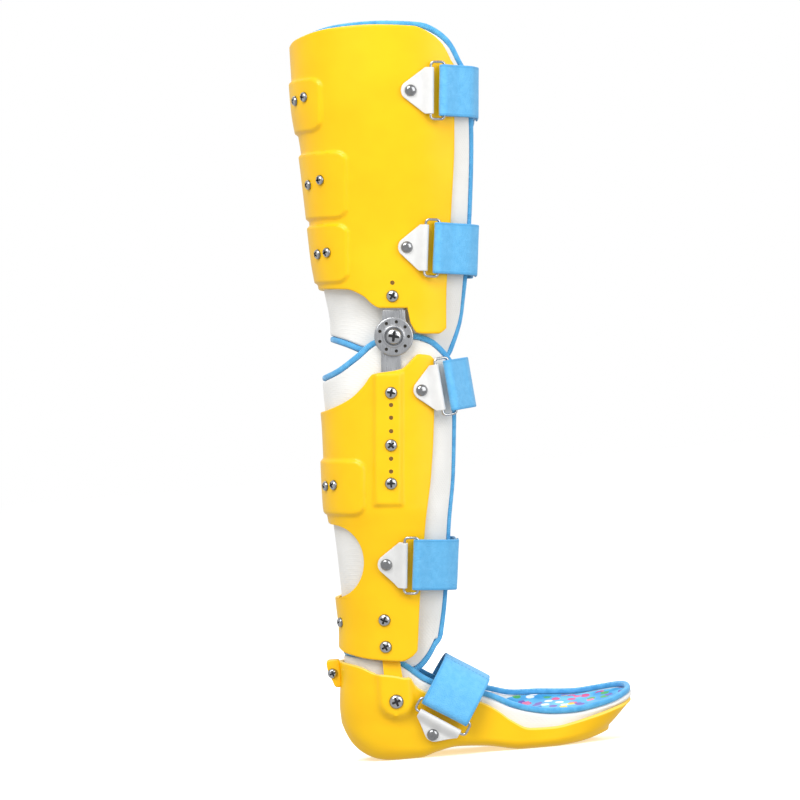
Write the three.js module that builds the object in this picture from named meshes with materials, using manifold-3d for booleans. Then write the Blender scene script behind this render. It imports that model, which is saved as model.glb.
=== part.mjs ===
// Knee ankle foot orthosis for a child: moulded plastic thigh, calf and foot shells with
// foam liners, steel knee side bars with a dial hinge, ankle struts and five webbing straps.
// Millimetres. +X points to the toes, -Y to the outer side of the leg and +Z up. The origin
// is on the floor, under the ankle axis. The brace stands on its sole, leaning forward a little.
import * as THREE from "three";
import { mergeVertices } from "three/addons/utils/BufferGeometryUtils.js";
import Module from "manifold-3d";

const wasm = await Module();
wasm.setup();

// Driving dimensions
const ANKLE_HEIGHT = 45;
const LEAN = THREE.MathUtils.degToRad(5);
const KNEE = { x: -2, z: 273 };
const GAP = 0.3;
const SHELL = 3;
const LINER = 4;
const BEAD = { width: 6, half: 2.1 };
const SECTION_POWER = 2.4;
const BAR = { upperWidth: 15, lowerWidth: 15, thick: 2.5, upperTop: 319, lowerEnd: 152, lap: 8 };
// Half-width of the neck that joins the dial to the upper bar, at heights over the knee axis.
const NECK = [{ half: 11.5, z: 5 }, { half: 9, z: 14 }, { half: 8.5, z: 19.5 }];
const NECK_LAP = 15;
const DIAL = { radius: 14.6, disc: 14.4, bore: 3.3, holes: 9, holeRing: 10.6, holeRadius: 1.2 };
const BAR_FACE = { lower: 50.4, dial: 53.2, upper: 50.8 };
const STRUT = { width: 15, inner: 34.6, thick: 2.8, topX: -8.8, topZ: 67 };
const WEBBING = { width: 38, thick: 1.8 };
const WIRE = 1;
const SCREW = { radius: 4.6, small: 3.8, height: 2.6 };
const KNEE_PIN = { radius: 6, height: 3 };
const ANKLE_PIN = { radius: 5.4, height: 2.8 };
// Head profiles as shares of the radius and the height.
const DOME_PROFILE = [{ r: 1, h: 0 }, { r: 0.72, h: 0.75 }, { r: 0, h: 1 }];
const PIN_PROFILE = [{ r: 1, h: 0 }, { r: 0.95, h: 0.45 }, { r: 0.6, h: 0.85 }, { r: 0, h: 1 }];
// How far from the middle plane cuts through the sides start and end, at the knee and the ankle.
const KNEE_CUT = { near: 40, far: 70 };
const ANKLE_CUT = { near: 20, far: 50 };

// Leg sections, heights above the ankle axis: back and front are where the outer face of the
// liner would cross the middle plane, half is its half-width.
const THIGH_SECTIONS = [
  { z: 242, back: -49, front: 49, half: 43.9 },
  { z: 296, back: -51, front: 55.5, half: 43.9 },
  { z: 304, back: -54.8, front: 60, half: 50.5 },
  { z: 330, back: -59, front: 63, half: 50.5 },
  { z: 371, back: -63.5, front: 67, half: 57.5 },
  { z: 416, back: -69, front: 69, half: 63 },
  { z: 446, back: -74, front: 71, half: 66 },
  { z: 512, back: -78.5, front: 72, half: 68 },
];
const CALF_SECTIONS = [
  { z: 12, back: -32, front: 40, half: 28.4 },
  { z: 48, back: -32, front: 45, half: 28.4 },
  { z: 72, back: -40.5, front: 46, half: 33.6 },
  { z: 105, back: -44.5, front: 46, half: 43 },
  { z: 131, back: -47.5, front: 47, half: 48 },
  { z: 146, back: -50, front: 48, half: 50 },
  { z: 206, back: -53, front: 52, half: 50 },
  { z: 240, back: -56, front: 56, half: 50 },
  { z: 290, back: -57, front: 57, half: 50 },
];
// How far the inner face of a shell stands off the liner, at the back and at the sides.
const THIGH_STANDOFF = [
  { z: 242, back: 4, side: 10.6 },
  { z: 296, back: 3, side: 10.6 },
  { z: 304, back: 0.8, side: 4.9 },
  { z: 330, back: 0.8, side: 4.6 },
  { z: 371, back: 1, side: 1 },
  { z: 512, back: 1, side: 1 },
];
const CALF_STANDOFF = [
  { z: 12, back: 8.2, side: 11.7 },
  { z: 48, back: 8.8, side: 11.7 },
  { z: 72, back: 2.6, side: 7.2 },
  { z: 105, back: 1, side: 1.2 },
  { z: 146, back: 0.8, side: 1.2 },
  { z: 285, back: 0.8, side: 0.8 },
];
// Front edges seen from the side: x of the binding's outer edge and of the shell's edge.
const THIGH_FRONT = [
  { z: 246, binding: 34, shell: 36 },
  { z: 262, binding: 42, shell: 36 },
  { z: 294, binding: 51, shell: 36 },
  { z: 371, binding: 57, shell: 40 },
  { z: 417, binding: 58, shell: 42 },
  { z: 465, binding: 56.5, shell: 42 },
  { z: 512, binding: 52, shell: 38 },
];
const CALF_FRONT = [
  { z: 14, binding: 27, shell: 14 },
  { z: 29, binding: 33, shell: 15 },
  { z: 47, binding: 39.5, shell: 16 },
  { z: 76, binding: 39, shell: 17 },
  { z: 134, binding: 41, shell: 21 },
  { z: 170, binding: 44, shell: 25 },
  { z: 207, binding: 45, shell: 27 },
  { z: 262, binding: 46, shell: 28 },
];
// Upper and lower edges seen from the side, as heights over x.
const THIGH_TOP = [
  { x: -90, z: 484 },
  { x: -82, z: 490 },
  { x: -74, z: 496 },
  { x: -48, z: 502 },
  { x: -16, z: 504 },
  { x: 12, z: 503 },
  { x: 24, z: 498 },
  { x: 33, z: 490 },
  { x: 40, z: 477 },
  { x: 56, z: 456 },
];
// The liner's upper edge follows the shell's, set forward and up a little.
const LINER_TOP = { forward: 8, rise: 1 };
const THIGH_SHELL_FOOT = [
  { x: -62, z: 309 },
  { x: -36, z: 308 },
  { x: -24, z: 303 },
  { x: -17, z: 295 },
  { x: -10, z: 290 },
  { x: 8, z: 290 },
  { x: 14, z: 280 },
  { x: 20, z: 275.5 },
  { x: 30, z: 275 },
  { x: 38, z: 281 },
];
const THIGH_LINER_FOOT = [
  { x: -60, z: 277 },
  { x: -40, z: 271 },
  { x: -20, z: 264 },
  { x: 20, z: 260 },
  { x: 36, z: 260 },
  { x: 44, z: 267 },
  { x: 52, z: 278 },
];
const CALF_SHELL_HEAD = [
  { x: -60, z: 215 },
  { x: -48, z: 219 },
  { x: -33, z: 227 },
  { x: -24, z: 236 },
  { x: -17, z: 245 },
  { x: 4, z: 248 },
  { x: 7, z: 257 },
  { x: 14, z: 260 },
  { x: 24, z: 259 },
  { x: 30, z: 252 },
];
const CALF_LINER_HEAD = [
  { x: -60, z: 238 },
  { x: -45, z: 244.5 },
  { x: -30, z: 255 },
  { x: -14, z: 267 },
  { x: 12, z: 271 },
  { x: 24, z: 268 },
  { x: 34, z: 260 },
  { x: 46, z: 244 },
];
const CALF_SHELL_FOOT = [
  { x: -45, z: 41 },
  { x: -36, z: 35 },
  { x: -15, z: 31 },
  { x: 4, z: 30 },
  { x: 12, z: 34 },
  { x: 18, z: 42 },
];
const CALF_LINER_FOOT = [
  { x: -36, z: 22 },
  { x: 0, z: 21 },
  { x: 20, z: 27 },
  { x: 29, z: 38 },
  { x: 38, z: 55 },
];
// Raised pads at the back of the shells: heights of their edges, the x they reach forward to,
// and their two screws.
const THIGH_PADS = [
  { low: 426, high: 466, front: -55, screws: [{ x: -76, z: 450 }, { x: -69, z: 452 }] },
  { low: 361, high: 411, front: -36, screws: [{ x: -66, z: 387 }, { x: -57, z: 390 }] },
  { low: 313, high: 357, front: -35, screws: [{ x: -59, z: 335 }, { x: -52, z: 336 }] },
];
const CALF_PADS = [{ low: 139, high: 181, front: -23, screws: [{ x: -53, z: 161 }, { x: -47, z: 162 }] }];
const PAD = { rise: 2.2, corner: 9, sink: 1.5, roundness: 0.98 };
const RIB = { back: -16.5, front: 4, low: 147, high: 246, root: 51.5, face: 56.4 };
const POCKET = { near: 48, far: 53.3 };
const RIB_HOLES = [{ z: 222 }, { z: 212.5 }, { z: 202.5 }, { z: 182 }, { z: 172.5 }];
const RIB_SCREWS = [{ z: 231 }, { z: 192 }, { z: 163.5 }];
const RIB_AXIS = -4;
const UPPER_BAR_HOLE = { x: -3, z: 313 };
const UPPER_BAR_SCREW = { x: -3, z: 303 };
const CALF_BACK_SCREW = { x: -42, z: 58 };
const ANKLE_SCREWS = [{ x: -9, z: 61 }, { x: -8, z: 41 }];
const HOLE_RADIUS = 1.6;
const WINDOW = { x: -50, z: 104, reach: 25, half: 28, across: 60 };
const BAR_NOTCH = { back: -13, front: 9, top: 293 };
const DIAL_CLEARANCE = 16;
// Straps: height of the middle, tip of the tab and ring seen from the side, tilt about the side
// axis, and how far the folded end runs back over the strap.
const STRAPS = [
  { name: "strap_1", z: 455, tip: 2, ring: 25, tilt: 0, lap: 58 },
  { name: "strap_2", z: 339, tip: 0, ring: 21, tilt: 0.03, lap: 60 },
  { name: "strap_3", z: 235, tip: 11, ring: 31, tilt: -0.17, lap: 16 },
  { name: "strap_4", z: 103, tip: -15, ring: 6, tilt: 0.02, lap: 56 },
];
const TAB = { half: 17.2, tip: 5, thick: 2.2, barrel: 2.6, bore: 1.3, flare: 7, margin: 4, nose: 3 };
const TAB_RIVET = { radius: 4.4, share: -0.14 };
const RING = { half: 21.2, depth: 7.8, corner: 1.8, height: 3.5 };
const FOLD = 3.5;
// A strap's run: its gap over the shell, the way it starts past the ring, how far it bows out in
// front and which share of its half-width it has there, and how much of its taper goes fore and aft.
const STRAP_RUN = { clear: 1.25, start: 8, turn: 0.1, bow: 1.5, crossing: 0.62, taper: 0.2 };

// Foot, heights above the floor. The outside of the shell at each height: the back and the
// half-width of the heel, and the tip of the toe.
const FOOT_WALL = [
  { z: 0, back: -26, heel: 30, toe: 167 },
  { z: 5, back: -31, heel: 31, toe: 169 },
  { z: 12, back: -37.5, heel: 32, toe: 171 },
  { z: 21, back: -42.5, heel: 33.5, toe: 173 },
  { z: 27, back: -45, heel: 34, toe: 182 },
  { z: 40, back: -46, heel: 36, toe: 182.5 },
  { z: 52, back: -45, heel: 37.3, toe: 182.5 },
  { z: 64, back: -42, heel: 37.3, toe: 182.5 },
  { z: 92, back: -41, heel: 37.3, toe: 182.5 },
];
// Half-widths in front of the heel, on the outer and the inner side of the foot's middle line.
const FOOT_HALF = [
  { x: 40, outer: 31, inner: 30 },
  { x: 75, outer: 33, inner: 32 },
  { x: 110, outer: 37, inner: 38 },
  { x: 140, outer: 34, inner: 36 },
];
const HEEL_BLEND = { start: 24, end: 70 };
const TOE_ROUND = 48;
const SOLE = [
  { x: -48, z: 5 },
  { x: -36, z: 1.6 },
  { x: -24, z: 0 },
  { x: 14, z: 0 },
  { x: 27, z: 3.4 },
  { x: 42, z: 6 },
  { x: 64, z: 4.6 },
  { x: 92, z: 0 },
  { x: 116, z: 0 },
  { x: 134, z: 1.2 },
  { x: 156, z: 6.5 },
  { x: 166, z: 11 },
  { x: 190, z: 22 },
];
// Heights of the shell's rim, the liner's rim and the liner's bed along the foot.
const FOOT_RIM = [
  { x: -48, shell: 79, liner: 82.5, bed: 10.5 },
  { x: -36, shell: 76, liner: 81, bed: 9 },
  { x: -26, shell: 73, liner: 79.5, bed: 8 },
  { x: -14, shell: 67, liner: 77, bed: 8 },
  { x: 4, shell: 63, liner: 71, bed: 8.5 },
  { x: 22, shell: 50, liner: 57, bed: 12 },
  { x: 40, shell: 43, liner: 46, bed: 15 },
  { x: 58, shell: 38, liner: 40, bed: 17 },
  { x: 72, shell: 30, liner: 33, bed: 18 },
  { x: 92, shell: 20, liner: 24, bed: 18.5 },
  { x: 110, shell: 18, liner: 22, bed: 18.5 },
  { x: 140, shell: 18, liner: 21.5, bed: 18.5 },
  { x: 160, shell: 18.5, liner: 23.5, bed: 21 },
  { x: 186, shell: 20, liner: 29, bed: 26.5 },
];
const BANK = { start: 62, full: 110, rise: 12, half: 37 };
const TOE_OUT = { start: 20, slope: 0.05 };
const FOOT_STATIONS = 16;
// Levels of a foot wall from the middle line of the sole out to the rim: across is the share of
// the half-width, lift the height over the sole, climb the share of the way up to the rim.
const FOOT_LEVELS = [
  { across: 0, lift: 0, climb: 0 },
  { across: 0.5, lift: 0, climb: 0 },
  { across: 0.9, lift: 0, climb: 0 },
  { across: 0.98, lift: 0.35, climb: 0 },
  { across: 1, lift: 1, climb: 0 },
  { across: 1, lift: 1, climb: 0.22 },
  { across: 1, lift: 1, climb: 0.6 },
  { across: 1, lift: 1, climb: 1 },
];
const SOLE_ROUND = 7;
const INSOLE = { thick: 2, across: 0.84, lift: 0.9, clear: 5 };
const FOOT_CLEAR = { wall: 1, floor: 0.8 };
const BOSS = { radius: 13, top: 62, face: 40.9 };
const STRUT_SLOT = { back: -9.6, front: 11, radius: 8, top: 72 };
const LUG = { half: 8, top: 78, foot: 57, back: -50.5, root: -45.4, front: -40.4, shelf: 72 };
const HEEL_SCREW = { x: -46.4, z: 68 };
// Instep strap: middle of its ring seen from the side, length of its tab, forward lean of its
// run, its arch over the foot, and how it stands off the walls.
const INSTEP = { x: 31, z: 27, tab: 17, lean: 0.6, clear: 4, seat: 5, tail: 14 };
const ARCH = { crest: 35, roundness: 0.8, start: 0.28, lapStart: 1.15, lapEnd: 0.3 };

// Materials
const paint = (color, roughness, metalness = 0) =>
  new THREE.MeshStandardMaterial({ color, roughness, metalness });
const MATERIALS = {
  plastic: paint(0xfcc908, 0.35),
  foam: paint(0xf3f4f6, 0.85),
  binding: paint(0x4fb4e8, 0.8),
  webbing: paint(0x5db6ea, 0.9),
  tab: paint(0xf4f4f2, 0.4),
  steel: paint(0xb9bcc0, 0.3, 1),
  insole: paint(0x58b7ea, 0.8),
};

// A smooth curve through a table's rows that never overshoots them.
function curveOf(rows, from, to) {
  const x = rows.map((row) => row[from]);
  const y = rows.map((row) => row[to]);
  const slope = x.slice(1).map((_, i) => (y[i + 1] - y[i]) / (x[i + 1] - x[i]));
  const tangent = x.map((_, i) => {
    if (i === 0) return slope[0];
    if (i === x.length - 1) return slope[i - 1];
    const [a, b] = [slope[i - 1], slope[i]];
    return a * b <= 0 ? 0 : (2 * a * b) / (a + b);
  });
  return (value) => {
    const v = Math.min(Math.max(value, x[0]), x[x.length - 1]);
    let i = 0;
    while (i < x.length - 2 && v > x[i + 1]) i += 1;
    const h = x[i + 1] - x[i];
    const t = (v - x[i]) / h;
    const near = (1 + 2 * t) * (1 - t) * (1 - t) * y[i] + t * (1 - t) * (1 - t) * h * tangent[i];
    const far = t * t * (3 - 2 * t) * y[i + 1] + t * t * (t - 1) * h * tangent[i + 1];
    return near + far;
  };
}
const blend = (value, low, high) => THREE.MathUtils.smoothstep(value, low, high);
const power = (v, p) => Math.sign(v) * Math.abs(v) ** p;
const spread = (count) => Array.from({ length: count }, (_, i) => i / (count - 1));

// Solids
function solidOf(geometry) {
  const bare = geometry.clone();
  bare.deleteAttribute("normal");
  bare.deleteAttribute("uv");
  const merged = mergeVertices(bare, 1e-4);
  const index = merged.index.array;
  const kept = [];
  for (let i = 0; i < index.length; i += 3) {
    const [a, b, c] = [index[i], index[i + 1], index[i + 2]];
    if (a !== b && b !== c && a !== c) kept.push(a, b, c);
  }
  const make = (triangles) =>
    new wasm.Manifold(
      new wasm.Mesh({
        numProp: 3,
        vertProperties: new Float32Array(merged.attributes.position.array),
        triVerts: new Uint32Array(triangles),
      }),
    );
  const solid = make(kept);
  if (solid.volume() > 0) return solid;
  const turned = [];
  for (let i = 0; i < kept.length; i += 3) turned.push(kept[i], kept[i + 2], kept[i + 1]);
  return make(turned);
}

function geometryOf(solid) {
  const mesh = solid.getMesh();
  const positions = new Float32Array(mesh.numVert * 3);
  for (let i = 0; i < mesh.numVert; i += 1) {
    const start = i * mesh.numProp;
    positions.set(mesh.vertProperties.subarray(start, start + 3), i * 3);
  }
  const geometry = new THREE.BufferGeometry();
  geometry.setAttribute("position", new THREE.BufferAttribute(positions, 3));
  geometry.setIndex(new THREE.BufferAttribute(new Uint32Array(mesh.triVerts), 1));
  geometry.computeVertexNormals();
  return geometry;
}

// Rings of points, joined in turn: a closed tube when loop is set, else with flat strip ends.
function skin(rings, loop) {
  const size = rings[0].length;
  const positions = rings.flat().flatMap((p) => [p.x, p.y, p.z]);
  const triangles = [];
  const quad = (a, b, c, d) => triangles.push(a, b, c, a, c, d);
  const spans = loop ? rings.length : rings.length - 1;
  for (let i = 0; i < spans; i += 1) {
    const near = i * size;
    const far = ((i + 1) % rings.length) * size;
    for (let k = 0; k < size; k += 1) {
      const next = (k + 1) % size;
      quad(near + k, near + next, far + next, far + k);
    }
  }
  if (!loop) {
    const last = (rings.length - 1) * size;
    for (let k = 0; k < size / 2 - 1; k += 1) {
      const across = size - 1 - k;
      quad(k, across, across - 1, k + 1);
      quad(last + k, last + k + 1, last + across - 1, last + across);
    }
  }
  const geometry = new THREE.BufferGeometry();
  geometry.setAttribute("position", new THREE.Float32BufferAttribute(positions, 3));
  geometry.setIndex(triangles);
  return geometry;
}

function place(geometry, matrix) {
  return geometry.clone().applyMatrix4(matrix);
}

// A flat plate: an outline in x and z, given thickness along y from the middle plane outwards.
function plate(shape, face, thick, side, curveSegments = 10) {
  const flat = new THREE.ExtrudeGeometry(shape, { depth: thick, bevelEnabled: false, curveSegments });
  const upright = new THREE.Matrix4().makeBasis(
    new THREE.Vector3(1, 0, 0),
    new THREE.Vector3(0, 0, 1),
    new THREE.Vector3(0, side, 0),
  );
  upright.setPosition(0, side * face, 0);
  return place(flat, upright);
}

function disc(x, z, radius, segments = 12) {
  const shape = new THREE.Shape();
  const points = Array.from({ length: segments }, (_, i) => {
    const turn = (i / segments) * 2 * Math.PI;
    return new THREE.Vector2(x + radius * Math.cos(turn), z + radius * Math.sin(turn));
  });
  return shape.setFromPoints(points);
}

// A round plug along y, for bores and screw holes.
function plug(x, z, radius, side, { near, far }, segments = 8) {
  return solidOf(plate(disc(x, z, radius, segments), near, far - near, side));
}

// The leg's surface: the point at an angle from the back (positive to the outer side) and a
// height, pushed out from the liner's outer face. Each section is a superellipse.
function legSurface(sections, standoff) {
  const [back, front, half] = ["back", "front", "half"].map((name) => curveOf(sections, "z", name));
  const clearBack = standoff ? curveOf(standoff, "z", "back") : () => 0;
  const clearSide = standoff ? curveOf(standoff, "z", "side") : () => 0;
  return (angle, z, out = 0) => {
    const rear = back(z) - clearBack(z) - out;
    const fore = front(z) + clearBack(z) + out;
    const wide = half(z) + clearSide(z) + out;
    const across = power(Math.cos(angle), 2 / SECTION_POWER);
    const aside = power(Math.sin(angle), 2 / SECTION_POWER);
    return new THREE.Vector3((rear + fore) / 2 - ((fore - rear) / 2) * across, -wide * aside, z);
  };
}

// The angle at which a section reaches x.
function angleAt(surface, x, z, out = 0) {
  let [low, high] = [0, Math.PI];
  for (let i = 0; i < 40; i += 1) {
    const middle = (low + high) / 2;
    if (surface(middle, z, out).x < x) low = middle;
    else high = middle;
  }
  return (low + high) / 2;
}

// The height at which a column of a wall meets an edge drawn from the side.
function heightOn(surface, edge, column, profile, start) {
  let z = start;
  for (let i = 0; i < 24; i += 1) z = (z + profile(surface(column * edge(z), z).x)) / 2;
  return z;
}

// The angle of a front edge drawn from the side, drawn back along the surface by a margin.
function frontEdge(surface, rows, column, margin = 0) {
  const x = curveOf(rows, "z", column);
  return (z) => {
    const angle = angleAt(surface, x(z), z);
    const pace = surface(angle, z).distanceTo(surface(angle - 0.01, z)) / 0.01;
    return angle - margin / pace;
  };
}

// The columns of a wall, closer together towards its front edges.
const columnAt = (t) => 0.6 * (2 * t - 1) + 0.4 * Math.sin(((2 * t - 1) * Math.PI) / 2);

// A wall on the surface between its front edges and between a lower and an upper edge.
function wall(surface, { edge, foot, head, columns, rows }, inner, outer) {
  const rings = spread(columns).map((t) => {
    const column = columnAt(t);
    const low = heightOn(surface, edge, column, foot, foot(0));
    const high = heightOn(surface, edge, column, head, head(0));
    const face = (out) =>
      spread(rows).map((v) => {
        const z = THREE.MathUtils.lerp(low, high, v);
        return surface(column * edge(z), z, out);
      });
    return [...face(outer), ...face(inner).reverse()];
  });
  return solidOf(skin(rings, false));
}

// A tube along a closed run of points: an oval of the given half sizes about each point.
function ovalTube(points, normals, width, height, shift, sides) {
  return skin(
    points.map((p, i) => {
      const before = points[(i + points.length - 1) % points.length];
      const after = points[(i + 1) % points.length];
      const out = after.clone().sub(before).cross(normals[i]).normalize();
      const turn = (k) => ((k + 0.5) / sides) * 2 * Math.PI;
      return Array.from({ length: sides }, (_, k) =>
        p
          .clone()
          .addScaledVector(out, shift + width * Math.cos(turn(k)))
          .addScaledVector(normals[i], height * Math.sin(turn(k))),
      );
    }),
    true,
  );
}

// A bead of tape round the whole edge of a liner.
function bead(surface, { edge, foot, head, columns, rows }) {
  const lowAt = (c) => heightOn(surface, edge, c, foot, foot(0));
  const highAt = (c) => heightOn(surface, edge, c, head, head(0));
  const across = spread(columns).slice(0, -1).map(columnAt);
  const up = spread(rows).slice(0, -1);
  const run = [
    ...across.map((c) => [c, lowAt(c)]),
    ...up.map((v) => [1, THREE.MathUtils.lerp(lowAt(1), highAt(1), v)]),
    ...across.map((c) => [-c, highAt(-c)]),
    ...up.map((v) => [-1, THREE.MathUtils.lerp(highAt(-1), lowAt(-1), v)]),
  ];
  const on = ([c, z], out) => surface(c * edge(z), z, out - LINER / 2);
  const points = run.map((spot) => on(spot, 0));
  const normals = run.map((spot, i) => on(spot, 1).sub(points[i]).normalize());
  return ovalTube(points, normals, BEAD.width / 2, BEAD.half, BEAD.width / 2 + GAP, 6);
}

const group = new THREE.Group();
const leg = new THREE.Group();
leg.position.z = ANKLE_HEIGHT;
leg.rotation.y = LEAN;
group.add(leg);

function add(parent, name, shape, material) {
  const geometry = shape.isBufferGeometry ? geometryOf(solidOf(shape)) : geometryOf(shape);
  const mesh = new THREE.Mesh(geometry, material);
  mesh.name = name;
  parent.add(mesh);
}

// Where a screw, tab or ring sits: a frame on the surface with x forward and z outwards.
// It lies along the surface over a span of heights above and below z, clear of what lies between.
function seat(surface, x, z, out, span = 1) {
  const at = (height) => surface(angleAt(surface, x, height, out), height, out);
  const [origin, high, low] = [at(z), at(z + span), at(z - span)];
  const angle = angleAt(surface, x, z, out);
  const forward = surface(angle + 0.01, z, out).sub(origin).normalize();
  const rise = high.clone().sub(low).normalize();
  const outward = forward.clone().cross(rise).normalize();
  const up = outward.clone().cross(forward);
  const bow = high.lerp(low, 0.5).sub(origin).dot(outward);
  origin.addScaledVector(outward, Math.max(bow, 0));
  return new THREE.Matrix4().makeBasis(forward, up, outward).setPosition(origin);
}

// A domed screw or rivet head: a low dome turned about its own axis, standing along +z.
function dome(radius, height) {
  const profile = DOME_PROFILE.map(({ r, h }) => new THREE.Vector2(radius * r, height * h));
  return new THREE.LatheGeometry([new THREE.Vector2(), ...profile], 10).rotateX(Math.PI / 2);
}

// Thigh and calf liners with their bindings
const thighSkin = legSurface(THIGH_SECTIONS);
const calfSkin = legSurface(CALF_SECTIONS);
const thighCast = legSurface(THIGH_SECTIONS, THIGH_STANDOFF);
const calfCast = legSurface(CALF_SECTIONS, CALF_STANDOFF);

const thighTop = curveOf(THIGH_TOP, "x", "z");
const thighLining = {
  edge: frontEdge(thighSkin, THIGH_FRONT, "binding", BEAD.width),
  foot: curveOf(THIGH_LINER_FOOT, "x", "z"),
  head: (x) => thighTop(x - LINER_TOP.forward) + LINER_TOP.rise,
};
const calfLining = {
  edge: frontEdge(calfSkin, CALF_FRONT, "binding", BEAD.width),
  foot: curveOf(CALF_LINER_FOOT, "x", "z"),
  head: curveOf(CALF_LINER_HEAD, "x", "z"),
};
const thighSheet = { ...thighLining, columns: 19, rows: 8 };
const calfSheet = { ...calfLining, columns: 19, rows: 9 };
add(leg, "thigh_liner", wall(thighSkin, thighSheet, -LINER, 0), MATERIALS.foam);
add(leg, "calf_liner", wall(calfSkin, calfSheet, -LINER, 0), MATERIALS.foam);
add(leg, "thigh_binding", bead(thighSkin, thighSheet), MATERIALS.binding);
add(leg, "calf_binding", bead(calfSkin, calfSheet), MATERIALS.binding);

// Thigh and calf shells
const box = (x0, x1, z0, z1) =>
  new THREE.Shape([[x0, z0], [x1, z0], [x1, z1], [x0, z1]].map(([x, z]) => new THREE.Vector2(x, z)));
const SIDES = [
  { side: -1, tail: "" },
  { side: 1, tail: "_inner" },
];
const knee = (radius, segments) => disc(KNEE.x, KNEE.z, radius, segments);

function raisedPad(surface, { low, high, front }) {
  const middle = (low + high) / 2;
  const reach = angleAt(surface, front, middle, SHELL);
  const round = (x) => {
    const past = THREE.MathUtils.clamp((x - front + PAD.corner) / PAD.corner, 0, 1);
    return PAD.corner * (1 - Math.sqrt(1 - PAD.roundness * past * past));
  };
  const patch = {
    edge: () => reach,
    foot: (x) => low + round(x),
    head: (x) => high - round(x),
    columns: 15,
    rows: 3,
  };
  return wall(surface, patch, SHELL - PAD.sink, SHELL + PAD.rise);
}

const thighCut = {
  edge: frontEdge(thighCast, THIGH_FRONT, "shell"),
  foot: curveOf(THIGH_SHELL_FOOT, "x", "z"),
  head: thighTop,
  columns: 23,
  rows: 8,
};
let thighShell = wall(thighCast, thighCut, 0, SHELL);
THIGH_PADS.forEach((pad) => {
  thighShell = thighShell.add(raisedPad(thighCast, pad));
});
const notch = box(BAR_NOTCH.back, BAR_NOTCH.front, KNEE.z, BAR_NOTCH.top);
SIDES.forEach(({ side }) => {
  thighShell = thighShell
    .subtract(solidOf(plate(notch, KNEE_CUT.near, KNEE_CUT.far - KNEE_CUT.near, side)))
    .subtract(plug(UPPER_BAR_HOLE.x, UPPER_BAR_HOLE.z, HOLE_RADIUS, side, KNEE_CUT));
});
add(leg, "thigh_shell", thighShell, MATERIALS.plastic);

const calfCut = {
  edge: frontEdge(calfCast, CALF_FRONT, "shell"),
  foot: curveOf(CALF_SHELL_FOOT, "x", "z"),
  head: curveOf(CALF_SHELL_HEAD, "x", "z"),
  columns: 23,
  rows: 9,
};
let calfShell = wall(calfCast, calfCut, 0, SHELL);
CALF_PADS.forEach((pad) => {
  calfShell = calfShell.add(raisedPad(calfCast, pad));
});
const opening = new THREE.Shape().absellipse(WINDOW.x, WINDOW.z, WINDOW.reach, WINDOW.half, 0, 2 * Math.PI);
calfShell = calfShell.subtract(solidOf(plate(opening, -WINDOW.across, 2 * WINDOW.across, 1, 12)));
const ribShape = box(RIB.back, RIB.front, RIB.low, RIB.high);
const barHalf = BAR.lowerWidth / 2;
const pocket = box(RIB_AXIS - barHalf - GAP, RIB_AXIS + barHalf + GAP, BAR.lowerEnd - 2 * GAP, KNEE.z);
SIDES.forEach(({ side }) => {
  calfShell = calfShell
    .add(solidOf(plate(ribShape, RIB.root, RIB.face - RIB.root, side)))
    .subtract(solidOf(plate(pocket, POCKET.near, POCKET.far - POCKET.near, side)))
    .subtract(plug(KNEE.x, KNEE.z, DIAL_CLEARANCE, side, KNEE_CUT, 24));
  RIB_HOLES.forEach(({ z }) => {
    if (side < 0) calfShell = calfShell.subtract(plug(RIB_AXIS, z, HOLE_RADIUS, side, KNEE_CUT));
  });
});
add(leg, "calf_shell", calfShell, MATERIALS.plastic);

// Knee side bars: the upper bar ends in the dial, the lower one in a disc under it
SIDES.forEach(({ side, tail }) => {
  const flank = (sign) => NECK.map(({ half, z }) => new THREE.Vector2(KNEE.x + sign * half, KNEE.z + z));
  const neck = new THREE.Shape([...flank(1), ...flank(-1).reverse()]);
  const half = BAR.upperWidth / 2;
  const upright = box(KNEE.x - half, KNEE.x + half, KNEE.z + NECK_LAP, BAR.upperTop);
  let upper = solidOf(plate(knee(DIAL.radius, 28), BAR_FACE.dial, BAR.thick, side))
    .add(solidOf(plate(neck, BAR_FACE.dial, BAR.thick, side)))
    .add(solidOf(plate(upright, BAR_FACE.upper, BAR.thick, side)))
    .subtract(plug(KNEE.x, KNEE.z, DIAL.bore, side, KNEE_CUT));
  for (let i = 0; i < DIAL.holes; i += 1) {
    const turn = (i / DIAL.holes) * 2 * Math.PI;
    const x = KNEE.x + DIAL.holeRing * Math.cos(turn);
    const z = KNEE.z + DIAL.holeRing * Math.sin(turn);
    if (side < 0) upper = upper.subtract(plug(x, z, DIAL.holeRadius, side, KNEE_CUT, 6));
  }
  add(leg, "knee_bar_upper" + tail, upper, MATERIALS.steel);
  const blade = box(RIB_AXIS - barHalf, RIB_AXIS + barHalf, BAR.lowerEnd, KNEE.z - BAR.lap);
  const lower = solidOf(plate(knee(DIAL.disc, 24), BAR_FACE.lower, BAR.thick, side))
    .add(solidOf(plate(blade, BAR_FACE.lower, BAR.thick, side)))
    .subtract(plug(KNEE.x, KNEE.z, DIAL.bore, side, KNEE_CUT));
  add(leg, "knee_bar_lower" + tail, lower, MATERIALS.steel);
});

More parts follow.
